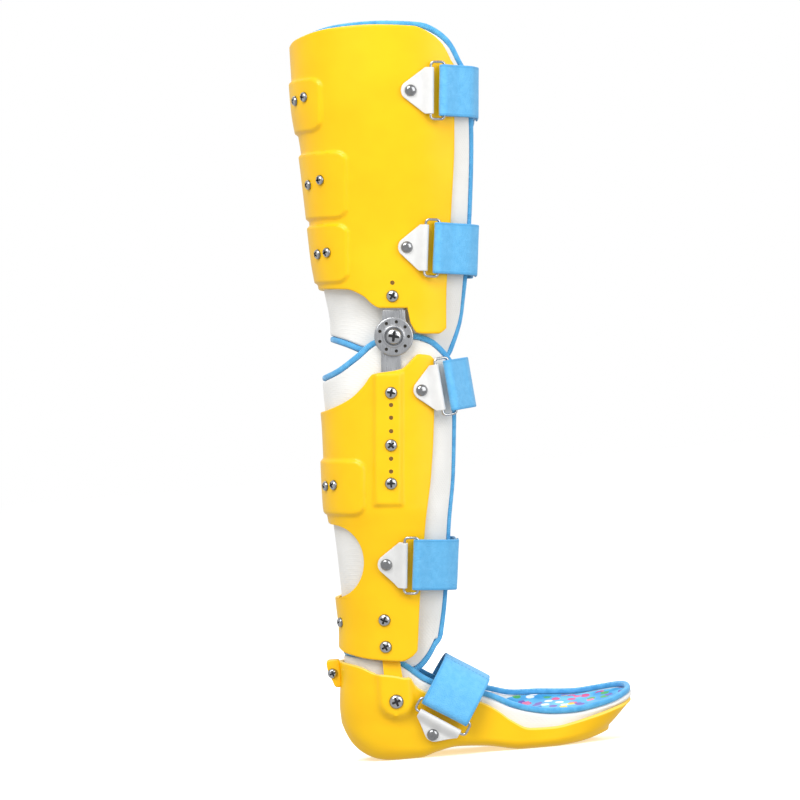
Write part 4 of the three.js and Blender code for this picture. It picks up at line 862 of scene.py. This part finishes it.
thigh_walls = rounded_wall(
    thigh_cast(thigh_angle, thigh_z, SHELL + pads_rise(side_x, thigh_z, THIGH_PADS)),
    thigh_cast(thigh_angle, thigh_z), half_round(thigh_distance, SHELL / 2),
)
make_piece(
    "thigh_shell_formed", on_leg(thigh_walls), polypropylene, "thigh", ["thigh_shell"]
)

# Knee side bars
# Flat steel bars each side of the knee. The upper one ends in a round dial with a ring of stop
# holes, the lower one in a disc under it, and a pivot joins them.
KNEE_X, KNEE_Z, BAR_THICK, BAR_BEVEL = -2.0, 273.0, 2.5, 0.4
DIAL_FACE, UPPER_FACE, LOWER_FACE = 53.2, 50.8, 50.4
DIAL_RADIUS, HOLE_RING, HOLE_RADIUS, HOLES, HOLE_DEPTH = 14.6, 11.0, 1.25, 9, 1.2
RING_IN, RING_OUT, HUB_BORE = 8.9, 13.2, 3.0

# Rolled stainless steel, satin ground along the bar: fine lines every 0.4 mm and soft handling marks.
satin_steel, tree, shader = new_finish("stainless_steel_satin", Metallic=1.0)
metal = add_node(tree, "TexCoord", "Object")
drawn = add_node(tree, "Mapping", "Vector", metal, Scale=(1.0, 1.0, 0.04))
grain = noise(tree, drawn, 2500.0, 2.0)
marks = noise(tree, metal, 160.0, 4.0)
rough = fitted(tree, grain, 0.3, 0.7, 0.22, 0.42)
feed(tree, shader, {
    "Base Color": ramp(tree, marks, ("#a3a5a9", "#c6c8cb")), "Roughness": rough,
    "Normal": bump(tree, grain, 0.15, 0.0001),
})


def dark_finish(name, scale, codes, **settings):
    """A dull dark material, mottled between two hex colours."""
    made, tree, shader = new_finish(name, **settings)
    place = add_node(tree, "TexCoord", "Object")
    mottle = noise(tree, place, scale, 2.0)
    feed(tree, shader, {"Base Color": ramp(tree, mottle, codes)})
    return made


# Painted shade: dark discs at the bottom of the dial's holes, standing for the shade inside them, where
# the light hardly reaches.
dial_bore_shade = dark_finish(
    "steel_blackened_bore", 700.0, ("#26231e", "#4a443a"), Roughness=0.7, Metallic=0.3
)


def turned(profile, x, z, side, angles):
    """A turned face: a profile of radius and |y| carried round an axis across the leg."""
    radius, reach = np.array(profile, float).T
    radius, reach = radius[:, None], reach[:, None]
    grid = np.broadcast_arrays(x + radius * np.cos(angles), side * reach, z + radius * np.sin(angles))
    return np.stack(grid, -1), None, None


hole_starts = np.arange(HOLES) * 2 * np.pi / HOLES


def holed_face(x, z, side, face, inner, outer, depth):
    """A flat ring with a circle of round holes: each hole's edge is blended out to the edge of its
    own share of the ring, and its wall goes down by the depth."""
    around = np.linspace(0, 2 * np.pi, 33)
    far = np.maximum(np.abs(np.cos(around)), np.abs(np.sin(around)))
    blend_out = np.linspace(0, 1, 5)[:, None]
    edge_r = (inner + outer) / 2 + np.cos(around) / far * (outer - inner) / 2
    edge_turn = np.sin(around) / far * np.pi / HOLES
    hole_r = HOLE_RING + HOLE_RADIUS * np.cos(around)
    hole_turn = HOLE_RADIUS * np.sin(around) / HOLE_RING
    r = np.concatenate([hole_r[None], hole_r + (edge_r - hole_r) * blend_out])
    turn = np.concatenate([hole_turn[None], hole_turn + (edge_turn - hole_turn) * blend_out])
    y = np.full(r.shape, side * face)
    y[0] -= side * depth
    return [
        (np.stack([x + r * np.cos(turn + s), y, z + r * np.sin(turn + s)], -1), None, None)
        for s in hole_starts
    ]


sector = np.tan(np.linspace(-np.pi / 4, np.pi / 4, 9))[:-1] * np.pi / HOLES
dial_angles = (hole_starts[:, None] + sector).ravel()
dial_angles = np.append(dial_angles, dial_angles[0] + 2 * np.pi)
full_turn, hole_turns = np.linspace(0, 2 * np.pi, 65), np.linspace(0, 2 * np.pi, 13)
dial_top = DIAL_FACE + BAR_THICK
dial_edge = np.array([  # radius, height over the dial's face
    (HUB_BORE, -BAR_THICK), (DIAL_RADIUS, -BAR_THICK), (DIAL_RADIUS, -0.7), (DIAL_RADIUS - 0.2, -0.3),
    (DIAL_RADIUS - 0.7, 0), (RING_OUT, 0),
]) + (0, dial_top)
dial_hub = np.array([
    (RING_IN, 0), (8.5, 0.1), (8.2, 0.5), (7.8, 0.7), (7.0, 0.7), (6.6, 0.4), (6.4, 0), (HUB_BORE, 0),
    (HUB_BORE, -BAR_THICK),
]) + (0, dial_top)
over_dial = np.radians(np.linspace(132, 48, 15))
neck_outline = np.concatenate([
    13.9 * np.stack([np.cos(over_dial), np.sin(over_dial)], -1),
    [(8.6, 14.5), (8.5, 19.5), (-8.5, 19.5), (-8.6, 14.5)],
]) + (KNEE_X, KNEE_Z)
upper_outline = smooth_outline([(-7.5, 15), (7.5, 15), (7.5, 46), (-7.5, 46)], 3) + (KNEE_X, KNEE_Z)
lower_outline = smooth_outline([(-11.5, 152), (3.5, 152), (3.5, 265), (-11.5, 265)], 3)
under_disc = np.array([  # radius, height over the disc's inner face
    (HUB_BORE, 0), (14.2, 0), (14.4, 0.3), (14.4, BAR_THICK - 0.3), (14.2, BAR_THICK),
    (HUB_BORE, BAR_THICK), (HUB_BORE, 0),
]) + (0, LOWER_FACE)
hole_floor = [(HOLE_RADIUS + 0.05, dial_top - 1.1), (0, dial_top - 1.1)]
for side, tail in SIDES:
    dial = [
        turned(dial_edge, KNEE_X, KNEE_Z, side, dial_angles),
        turned(dial_hub, KNEE_X, KNEE_Z, side, dial_angles),
        *holed_face(KNEE_X, KNEE_Z, side, dial_top, RING_IN, RING_OUT, HOLE_DEPTH),
        rounded_plate(neck_outline, DIAL_FACE, dial_top - 0.2, BAR_BEVEL, side),
        rounded_plate(upper_outline, UPPER_FACE, UPPER_FACE + BAR_THICK, BAR_BEVEL, side),
    ]
    make_piece(
        "knee_dial_bar" + tail, on_leg(dial), satin_steel, "thigh", ["knee_bar_upper" + tail],
        sharp=35,
    )
    floors = [
        turned(
            hole_floor, KNEE_X + HOLE_RING * np.cos(s), KNEE_Z + HOLE_RING * np.sin(s), side, hole_turns
        )
        for s in hole_starts
    ]
    # Discs of painted shade at the bottom of the dial's holes.
    make_piece("dial_hole_floors" + tail, on_leg(floors), dial_bore_shade, "thigh", [])
    lower_bar = [
        turned(under_disc, KNEE_X, KNEE_Z, side, full_turn),
        rounded_plate(lower_outline, LOWER_FACE, LOWER_FACE + BAR_THICK, BAR_BEVEL, side),
    ]
    make_piece(
        "knee_lower_bar" + tail, on_leg(lower_bar), satin_steel, "calf",
        ["knee_bar_lower" + tail], sharp=35,
    )

# Bar holes
# Spare holes in the outer rib and in the thigh shell over the bars, for setting the brace's length.
# Each is drawn as a disc of painted shade, a dark brownish yellow for the hole's shaded inside, that
# lies on the surface.
# Painted shade: a dark brownish yellow standing for the shaded inside of a hole in the plastic.
hole_shade_paint = dark_finish("polypropylene_drilled", 900.0, ("#5a3d08", "#8a6210"), Roughness=0.6)
RIB_AXIS, BAR_HOLE_X, BAR_HOLE_Z = -4.0, -3.0, 313.0
drill = np.linspace(0, 2 * np.pi, 25)


def hole_shade_disc(face, below, above, x, z):
    """A disc of painted shade for a hole on the outer side: its edge rises from below the face to just
    above it.
    """
    return turned([(1.75, face - below), (1.6, face + above), (0, face + above)], x, z, -1, drill)


rib_holes = [hole_shade_disc(RIB_FACE, 0.2, 0.05, RIB_AXIS, z) for z in (222, 212.5, 202.5, 182, 172.5)]
make_piece("rib_holes", on_leg(rib_holes), hole_shade_paint, "calf", [])
bar_hole_angle = angle_at(thigh_cast, BAR_HOLE_X, BAR_HOLE_Z, SHELL)
bar_hole_face = float(-thigh_cast(bar_hole_angle, BAR_HOLE_Z, SHELL)[1])
bar_hole = hole_shade_disc(bar_hole_face, 0.3, 0.12, BAR_HOLE_X, BAR_HOLE_Z)
make_piece("thigh_bar_hole", on_leg([bar_hole]), hole_shade_paint, "thigh", [])

# Screws and pivots
# Domed cross-slot screws and hinge pivots of plated steel, driven through the shells into the bars,
# the struts and the pads.
plated, tree, shader = new_finish("nickel_plated_steel", Metallic=1.0)
polished = add_node(tree, "TexCoord", "Object")
polish = noise(tree, polished, 600.0, 3.0)
# The UV's first axis is painted shade: dark in the cross slots and round each head's rim, and over a
# whole rivet as a painted dark reflection.
slot_rim_shade_map = add_node(tree, "SeparateXYZ", "X", polished.node.outputs["UV"])
feed(tree, shader, {
    "Base Color": mix(tree, slot_rim_shade_map, ramp(tree, polish, ("#a2a4a7", "#d6d7d9")), linear("#232325")),
    "Roughness": fitted(tree, polish, 0.0, 1.0, 0.1, 0.26),
})

# The last two are painted shade round a head's rim and a painted dark reflection over a whole rivet, as
# shares of the dark colour.
SLOT_THIN, SLOT_LONG, SLOT_DEPTH, RIM_SHADE, RIVET_SHADE = (0.13, 0.17), (0.58, 0.64), 0.55, 0.55, 0.4
half_lines = np.array([
    0, 0.05, 0.1, *SLOT_THIN, 0.22, 0.3, 0.4, 0.5, *SLOT_LONG, 0.72, 0.8, 0.88, 0.94, 0.98, 1
])
head_lines = np.concatenate([-half_lines[:0:-1], half_lines])


def screw_head(radius, height, turn=0.0, slotted=True):
    """A low dome on a square grid drawn to a disc, so that the cross slot follows grid lines: the
    dome is (1 - r^2.6)^0.5 of the height, and the slot's arms are cut 0.55 of it deep. u is painted
    shade: dark in the slot and round the rim, and over the whole of a rivet."""
    u, v = np.meshgrid(head_lines, head_lines, indexing="ij")
    across, along = u * np.sqrt(1 - v * v / 2), v * np.sqrt(1 - u * u / 2)
    r = np.minimum(np.hypot(across, along), 1)
    thin_u, thin_v = (1 - ease(np.abs(t), *SLOT_THIN) for t in (u, v))
    long_u, long_v = (1 - ease(np.abs(t), *SLOT_LONG) for t in (u, v))
    slot = np.maximum(thin_u * long_v, thin_v * long_u) * slotted
    z = height * (np.sqrt(1 - r ** 2.6) - SLOT_DEPTH * slot)
    x = radius * (across * np.cos(turn) - along * np.sin(turn))
    y = radius * (across * np.sin(turn) + along * np.cos(turn))
    # Painted shade in the slots and at the rim, and a painted dark reflection over the whole of a rivet.
    painted_shade = np.maximum(np.maximum(0.9 * slot, RIM_SHADE * ease(r, 0.78, 1)), 0.0 if slotted else RIVET_SHADE)
    uv = np.stack([painted_shade, 0 * r], -1)
    return [(np.stack([x, y, level], -1), uv, None) for level in (z, 0 * z)]


def seat(surface, x, z, out, span=1.0):
    """Where a fitting lies on the leg: axes forward, up and outward, and a point that is clear of
    the surface's bow over a span of heights."""
    angle = angle_at(surface, x, z, out)
    origin = surface(angle, z, out)
    high, low = (surface(angle_at(surface, x, h, out), h, out) for h in (z + span, z - span))
    forward = unit(surface(angle + 0.01, z, out) - origin)
    outward = unit(np.cross(forward, unit(high - low)))
    bow = np.dot((high + low) / 2 - origin, outward)
    axes = np.stack([forward, np.cross(outward, forward), outward], -1)
    return axes, origin + outward * max(bow, 0)


def facing(side):
    """Axes of a fitting that stands straight out of one side."""
    return np.array([[-side, 0, 0], [0, 0, side], [0, 1, 0]], float)


def placed(patches, axes, origin):
    """Grids carried from a fitting's own axes to its place."""
    return [(grid @ axes.T + origin, uv, kept) for grid, uv, kept in patches]


HEAD, SMALL_HEAD, HEAD_HEIGHT, CLEAR, TOUCH = 4.6, 3.8, 2.6, 0.3, 0.1
PIVOT = 6.2, 3.2  # radius and height of the knee's pivot, then of the ankle's
ANKLE_PIVOT = 5.4, 2.8
small, large = (SMALL_HEAD, HEAD_HEIGHT), (HEAD, HEAD_HEIGHT)
ON_PADS = SHELL + PAD_RISE + CLEAR
thigh_spots = [(-76, 450), (-69, 452), (-66, 387), (-57, 390), (-59, 335), (-52, 336)]
leg_screws = [
    *((f"thigh_screw_{k + 1}", "thigh", seat(thigh_cast, x, z, ON_PADS), small)
      for k, (x, z) in enumerate(thigh_spots)),
    *((f"calf_screw_{k + 1}", "calf", seat(calf_cast, x, z, ON_PADS), small)
      for k, (x, z) in enumerate([(-53, 161), (-47, 162)])),
    *((f"bar_screw_{k + 1}", "calf", (facing(-1), (RIB_AXIS, -RIB_FACE - TOUCH, z)), large)
      for k, z in enumerate((231, 192, 163.5))),
    ("knee_screw_upper", "thigh", seat(thigh_cast, -3, 303, SHELL + TOUCH), large),
    ("calf_back_screw", "calf", seat(calf_cast, -42, 58, SHELL + TOUCH), small),
    *((f"ankle_screw_{k + 1}", "calf", seat(calf_cast, x, z, SHELL + TOUCH), large)
      for k, (x, z) in enumerate([(-9, 61), (-8, 41)])),
    *(("knee_pivot" + tail, "thigh", (facing(side), (KNEE_X, side * (dial_top + TOUCH), KNEE_Z)), PIVOT)
      for side, tail in SIDES),
]
for k, (node, body, spot, size) in enumerate(leg_screws):
    head = on_leg(placed(screw_head(*size, 0.5 + 0.9 * k), *spot))
    make_piece(node + "_head", head, plated, body, [node], sharp=40)
foot_screws = [
    *(("ankle_pivot" + tail, (facing(side), (0, side * (BOSS_FACE + TOUCH), ANKLE_HEIGHT)), ANKLE_PIVOT)
      for side, tail in SIDES),
    ("heel_screw", (facing(-1), (-46.4, -8.1, 68)), small),
]
for k, (node, spot, size) in enumerate(foot_screws):
    head = placed(screw_head(*size, 0.3 + 0.8 * k), *spot)
    make_piece(node + "_head", head, plated, "foot", [node], sharp=40)

# Strap tabs, rings and rivets
# White coated sheet, cut to a triangle, folded round a wire ring and held to the shell by a domed
# rivet through both layers.
coated, tree, shader = new_finish("vinyl_coated_sheet_white", Roughness=0.38, IOR=1.5)
sheet = add_node(tree, "TexCoord", "Object")
pores = noise(tree, sheet, 1100.0, 3.0)
wear = noise(tree, sheet, 120.0, 2.0)
feed(tree, shader, {
    "Base Color": ramp(tree, wear, ("#d4d4d3", "#e8e8e6")), "Normal": bump(tree, pores, 0.2, 0.0002),
})

TAB_HALF, TAB_TIP, TAB_THICK, BARREL, NOSE = 17.2, 5.0, 2.2, 1.95, 3.0
RING_HALF, RING_DEPTH, RING_CORNER, RING_HEIGHT, WIRE = 21.2, 10.4, 3.2, 3.5, 1.0
RIVET, RIVET_SHARE = 4.4, -0.14


def tab_sheet(length):
    """A folded tab in its own axes, x to the ring and z outward: a flat path from the tip under to
    the wire, round it and back over to the tip, as wide at each x as a triangle with a round nose."""
    near, far = -length / 2, length / 2
    ply = TAB_THICK / 4
    turn = np.linspace(-np.pi / 2, np.pi / 2, 15)
    barrel = np.stack([far + BARREL * np.cos(turn), RING_HEIGHT + BARREL * np.sin(turn)], -1)
    under_x = np.linspace(near + 1, far, 40)
    under_z = ply + (RING_HEIGHT - BARREL - ply) * ease(under_x, near + NOSE, far)
    over_x = np.linspace(far, near + 1, 40)
    over_z = 3 * ply + (RING_HEIGHT + BARREL - 3 * ply) * ease(over_x, far - 8, far)
    x, z = np.concatenate([
        np.stack([under_x, under_z], -1), barrel[1:-1], np.stack([over_x, over_z], -1)
    ]).T
    slope = (TAB_HALF - TAB_TIP) / (length - 7)
    half = np.minimum(TAB_HALF, TAB_TIP + slope * (x - near - NOSE))
    half = np.where(x < near + NOSE, TAB_TIP * np.sqrt(np.clip((x - near - 1) / 2, 0, 1)), half)
    share = edge_shares(25, 0.02) * 2 - 1
    tangent = unit(np.gradient(np.stack([x, z], -1), axis=0))
    normal = np.stack([-tangent[:, 1], 0 * x, tangent[:, 0]], -1)
    y = half[:, None] * share
    middle = np.stack(np.broadcast_arrays(x[:, None], y, z[:, None]), -1)
    lifted = normal[:, None] * 0.97 * ply * half_round((half[:, None] - np.abs(y)), 0.5)[..., None]
    return [(middle + lifted, None, None), (middle - lifted, None, None)]


def wire_ring(length):
    """A bent wire rectangle in the tab's axes: a round section carried round a rounded outline."""
    near, far = length / 2, length / 2 + RING_DEPTH
    corners = [(near, -RING_HALF), (far, -RING_HALF), (far, RING_HALF), (near, RING_HALF)]
    outline = smooth_outline(corners, RING_CORNER, 10)
    turn = np.linspace(0, 2 * np.pi, 15)
    flat = outline[:, None] + outline_normal(outline)[:, None] * (WIRE * np.cos(turn))[None, :, None]
    rise = np.broadcast_to(RING_HEIGHT + WIRE * np.sin(turn), flat.shape[:2])
    tube = np.concatenate([flat, rise[..., None]], -1)
    return np.concatenate([tube, tube[:1]]), None, None


def make_fittings(name, body, length, axes, origin, settle):
    """The tab, ring and rivet of one strap, in its tab's axes."""
    shift = np.array([RIVET_SHARE * length, 0, TAB_THICK])
    rivet = placed(screw_head(RIVET, HEAD_HEIGHT, slotted=False), np.eye(3), shift)
    for tail, patches, material, slot, node in (
        ("_tab_folded", tab_sheet(length), coated, "white_tab", "_tab"),
        ("_ring_wire", [wire_ring(length)], plated, "steel", "_ring"),
        ("_rivet_head", rivet, plated, "steel", "_rivet"),
    ):
        make_piece(name + tail, settle(placed(patches, axes, origin)), material, body, [name + node])


# Straps
# Light blue loop-faced webbing, 38 mm wide. Each is sewn to the inner side of its shell, crosses
# the front, and folds back on itself through its ring to close on hook tape.
webbing, tree, shader = new_finish(
    "nylon_loop_webbing_blue", Roughness=0.88, Sheen_Weight=0.25, Sheen_Roughness=0.45
)
# Loops of pile about 0.5 mm apart, drawn at 1.2 mm so that they show.
run_uv = add_node(tree, "TexCoord", "UV")
pile = add_node(
    tree, "TexVoronoi", "Distance", run_uv, voronoi_dimensions="2D", Scale=1 / 1.2, Randomness=0.9
)
lint = noise(tree, run_uv, 0.22, 4.0, noise_dimensions="2D")
blue = ramp(tree, lint, ("#5fb2e6", "#6cbcee"), (0.3, 0.72))
across = add_node(tree, "SeparateXYZ", "X", run_uv)
from_middle = maths(tree, "ABSOLUTE", across)
selvedge = fitted(tree, from_middle, 16.9, 17.3, 0.0, 0.6)
# Two rows of stitches across each end, 2 mm of thread out of every 3 mm.
from_end = across.node.outputs["Y"]
row = maths(tree, "COMPARE", maths(tree, "PINGPONG", from_end, 2.0), 1.0, 0.35)
rows = maths(tree, "MULTIPLY", row, maths(tree, "LESS_THAN", from_end, 4.0))
dash = maths(tree, "GREATER_THAN", maths(tree, "PINGPONG", across, 1.5), 0.5)
woven = mix(tree, selvedge, blue, linear("#4a9fd6"))
feed(tree, shader, {
    "Base Color": mix(tree, maths(tree, "MULTIPLY", rows, dash), woven, linear("#2f7fb8")),
    "Normal": bump(tree, pile, 0.45, 0.0006),
})

WEB_HALF, WEB_THICK, FOLD, WEB_EDGE = 19.0, 1.8, 3.5, 0.8
WEB_STEP, WEB_SOFT, WEB_LIE = 1.1, 1.7, 0.22
SHELL_GAP, FRONT_STEP, FLAT_FRONT = 1.25, 2.5, 0.82


def soft_run(points, step, reach):
    """An open run at even steps, softened by a Gaussian along it. The ends stay where they are."""
    length = run_lengths(points)
    at = np.linspace(0, length[-1], int(length[-1] / step))
    even = points_at(at, length, points)
    count = int(4 * reach / step)
    bell = np.exp(-0.5 * (np.arange(-count, count + 1) * step / reach) ** 2)
    before, after = 2 * even[0] - even[count:0:-1], 2 * even[-1] - even[-2:-count - 2:-1]
    longer = np.concatenate([before, even, after])
    return np.stack([np.convolve(longer[:, k], bell / bell.sum(), "valid") for k in range(2)], -1), at


def run_normal(run):
    """Across a flat run, to its right."""
    way = unit(np.gradient(run, axis=0))
    return np.stack([way[:, 1], -way[:, 0]], -1)


def band(run):
    """Webbing along a flat run: two faces half its thickness either side, drawn together at the
    edges and ends. The third axis is its width; u is millimetres across and v from the nearer end."""
    run, at = soft_run(run, WEB_STEP, WEB_SOFT)
    to_end = np.minimum(at, at[-1] - at)[:, None]
    width = WEB_HALF * (edge_shares(31, 0.022) * 2 - 1)
    edge = np.minimum(WEB_HALF - np.abs(width)[None], to_end)
    lie = WEB_LIE * np.sin(at * 0.09)[:, None] * np.sin(width * 0.12)[None]
    uv = np.stack(np.broadcast_arrays(width[None], to_end), -1)
    faces = []
    for side in (1, -1):
        offset = (lie + side * WEB_THICK / 2 * half_round(edge, WEB_EDGE))[..., None]
        flat = run[:, None] + run_normal(run)[:, None] * offset
        faces.append((np.concatenate([flat, uv[..., :1]], -1), uv, None))
    return faces


def fold_round(wire, forward, outward):
    """Half a turn of webbing round a wire, from its outer side to its inner side."""
    turn = np.linspace(0, np.pi, 17)[:, None]
    return wire + FOLD * (np.cos(turn) * outward - np.sin(turn) * forward)


def lapped(base, lap):
    """The folded end that lies over a run, from a distance along it back to its start."""
    over = base + run_normal(base) * (WEB_THICK + CLEAR)
    return points_at(np.linspace(lap, 1, 60), run_lengths(base), over)


def make_strap(name, body, surface, edge_rows, z, tip, ring, tilt, lap, stand):
    """A strap round the leg: along the shell from its ring, over the liner's edge, flat across the
    front and back along the inner side. It widens with the leg and is tilted about its ring."""
    about = np.array([ring, 0, z])
    tilted = np.array([[np.cos(tilt), 0, np.sin(tilt)], [0, 1, 0], [-np.sin(tilt), 0, np.cos(tilt)]])

    def settle(patches):
        return on_leg(placed([(grid - about, uv, kept) for grid, uv, kept in patches], tilted, about))

    axes, origin = seat(surface, (tip + ring) / 2, z, SHELL + CLEAR, WEB_HALF)
    length = ring - tip
    make_fittings(name, body, length, axes, origin, settle)
    wire = (origin + axes @ np.array([length / 2 + RING_DEPTH, 0, RING_HEIGHT]))[:2]
    forward = unit(axes[:2, 0])
    outward = np.array([forward[1], -forward[0]])
    wide = [-surface(np.pi / 2, h, SHELL)[1] for h in (z + WEB_HALF, z - WEB_HALF, z)]
    taper = (wide[0] - wide[1]) / (2 * WEB_HALF) / abs(wire[1])
    lower = SHELL + SHELL_GAP + max((wide[0] + wide[1]) / 2 - wide[2], 0) + WEB_THICK / 2
    start, end = angle_at(surface, wire[0] + 8, z, lower), angle_at(surface, ring, z, lower)
    reach = float(curve_through(edge_rows)(z)) - FRONT_STEP
    turn = max(float(angle_at(surface, reach, z, lower)), float(start) + 0.1)
    outer = surface(np.linspace(start, turn, 60), z, lower)[:, :2]
    mirror = np.array([1, -1])
    crossing = outer[-1] * (1, FLAT_FRONT) + (FRONT_STEP + stand, 0)
    inner = surface(np.linspace(turn, end, 60), z, lower)[:, :2] * mirror
    base = np.concatenate([outer, crossing[None], crossing[None] * mirror, inner])
    run = np.concatenate([lapped(base, lap), fold_round(wire, forward, outward), base])
    middle = (surface(0.0, z)[0] + surface(np.pi, z)[0]) / 2
    faces = []
    for grid, uv, kept in band(run):
        grow = taper * grid[..., 2]
        x = middle + (grid[..., 0] - middle) * (1 + 0.2 * grow)
        faces.append((np.stack([x, grid[..., 1] * (1 + grow), z + grid[..., 2]], -1), uv, kept))
    make_piece(name + "_webbing", settle(faces), webbing, body, [name])


# Height, the tab's tip, its ring, tilt, length of the folded end, and how far the front stands off.
on_thigh, on_calf = ("thigh", thigh_cast, THIGH_FRONT), ("calf", calf_cast, CALF_FRONT)
make_strap("strap_1", *on_thigh, 455.0, 2, 25, 0.0, 58, 1.5)
make_strap("strap_2", *on_thigh, 339.0, 0, 21, 0.03, 60, 3.0)
make_strap("strap_3", *on_calf, 235.0, 11, 31, -0.17, 14, -1.0)
make_strap("strap_4", *on_calf, 103.0, -15, 6, 0.02, 56, 3.5)

# Instep strap
# The same webbing over the instep: its tab hangs on the foot shell's outer wall and the band arches
# over to the inner wall, where it is fixed.
INSTEP_X, INSTEP_Z, INSTEP_TAB, INSTEP_LEAN, CREST = 31.0, 27.0, 17.0, 0.58, 35.0
TAB_OUT, BAND_OUT, BAND_END = 4.0, 5.0, -14.0
run_way = np.array([np.sin(INSTEP_LEAN), 0, np.cos(INSTEP_LEAN)])
ring_way = np.array([-np.cos(INSTEP_LEAN), 0, np.sin(INSTEP_LEAN)])


def wall_at(x, z, side, out):
    """A point off the foot shell's wall."""
    return np.array([x, float(middle_line(x) + side * (foot_reach(x, z, side, 0) + out)), z])


tab_tip, tab_end = (
    wall_at(INSTEP_X - back * run_way[0], INSTEP_Z - back * run_way[2], -1, TAB_OUT)
    for back in (INSTEP_TAB, 0)
)
tab_way = unit(tab_end - tab_tip)
tab_out = unit(np.cross(tab_way, ring_way))
tab_axes = np.stack([tab_way, np.cross(tab_out, tab_way), tab_out], -1)
tab_length = np.linalg.norm(tab_end - tab_tip)
tab_middle = (tab_tip + tab_end) / 2
make_fittings("strap_5", "foot", tab_length, tab_axes, tab_middle, lambda patches: patches)
hook = tab_middle + tab_axes @ np.array([tab_length / 2 + RING_DEPTH, 0, RING_HEIGHT])
wire_flat = np.array([hook[1], 0.0])
way_flat = unit(np.array([tab_way[1], tab_way @ run_way]))
out_flat = np.array([-way_flat[1], way_flat[0]])
inner_foot = wall_at(hook[0], hook[2], 1, BAND_OUT)[1]
arch_half, arch_middle = (inner_foot - hook[1]) / 2, (inner_foot + hook[1]) / 2


def arch(turn, out):
    """Over the instep: a superellipse from the ring to the inner wall."""
    return np.stack([
        arch_middle - (arch_half + out) * signed_power(np.cos(turn), 0.8),
        (CREST + out) * np.abs(np.sin(turn)) ** 0.8,
    ], -1)


arch_run = np.concatenate([
    arch(np.linspace(1.15, 0.3, 40), WEB_THICK + CLEAR),
    fold_round(wire_flat, way_flat, out_flat),
    arch(np.linspace(0.28, np.pi, 90), 0.0),
    np.array([[inner_foot, BAND_END]]),
])
arch_axes = np.stack([np.array([0.0, 1, 0]), run_way, -ring_way], -1)
arch_faces = placed(band(arch_run), arch_axes, (hook[0], 0, hook[2]))
make_piece("strap_5_webbing", arch_faces, webbing, "foot", ["strap_5"])

# Stage
# A white floor and backdrop, broad soft lights, and a level camera in front of the outer side,
# rolled so that the leg stands upright in the picture.
FLOOR_HALF_SIZE, DOME_RADIUS, FLOOR_GLOW, SKY = 12.0, 14.0, 0.36, 0.64
white, black = linear("#ffffff"), linear("#000000")


def make_backing(name, mesh, base, glow, **unseen):
    """A piece of the stage in glowing paper, hidden from the rays that are named."""
    paper, _, _ = new_finish(
        "paper_" + name, Base_Color=base, Roughness=1.0, Specular_IOR_Level=0.0,
        Emission_Color=white, Emission_Strength=glow,
    )
    mesh.materials.append(paper)
    obj = bpy.data.objects.new(name, mesh)
    bpy.context.collection.objects.link(obj)
    for ray, seen in unseen.items():
        setattr(obj, ray, seen)


floor_mesh, dome_mesh = bpy.data.meshes.new("floor"), bpy.data.meshes.new("backdrop")
corners = FLOOR_HALF_SIZE * np.array([(-1, -1, 0), (1, -1, 0), (1, 1, 0), (-1, 1, 0)])
floor_mesh.from_pydata(corners, [], [(0, 1, 2, 3)])
dome = bmesh.new()
bmesh.ops.create_icosphere(dome, subdivisions=4, radius=DOME_RADIUS)
dome.to_mesh(dome_mesh)
dome.free()
make_backing("floor", floor_mesh, white, FLOOR_GLOW, visible_diffuse=False, visible_glossy=False)
make_backing(
    "backdrop", dome_mesh, black, 1.0,
    visible_diffuse=False, visible_glossy=False, visible_shadow=False,
)

sky = bpy.data.worlds.new("studio")
sky.use_nodes = True
feed(sky.node_tree, sky.node_tree.nodes["Background"], {"Color": white, "Strength": SKY})
bpy.context.scene.world = sky
bpy.context.scene.view_settings.view_transform = "Standard"
LIGHTS = [  # name, place, size, watts
    ("key", (-0.7, -1.5, 1.9), 1.4, 38), ("fill", (1.5, -1.5, 0.9), 1.6, 21),
    ("back", (0.1, 1.3, 1.8), 1.6, 16),
]
LEG_MIDDLE = np.array([0.02, 0, 0.28])
for name, spot, size, watts in LIGHTS:
    lamp = bpy.data.lights.new(name, "AREA")
    lamp.size, lamp.energy = size, watts
    holder = bpy.data.objects.new(name, lamp)
    holder.location = spot
    x, y, z = LEG_MIDDLE - spot
    holder.rotation_euler = (np.arctan2(np.hypot(x, y), -z), 0, np.arctan2(x, -y) + np.pi)
    bpy.context.collection.objects.link(holder)

lens = bpy.data.cameras.new("camera")
lens.sensor_width, lens.lens = 36.0, 178.0
camera = bpy.data.objects.new("camera", lens)
camera.location = (0.0223, -3.0, 0.2696)
camera.rotation_euler = (np.pi / 2, LEAN, 0)
bpy.context.collection.objects.link(camera)
bpy.context.scene.camera = camera
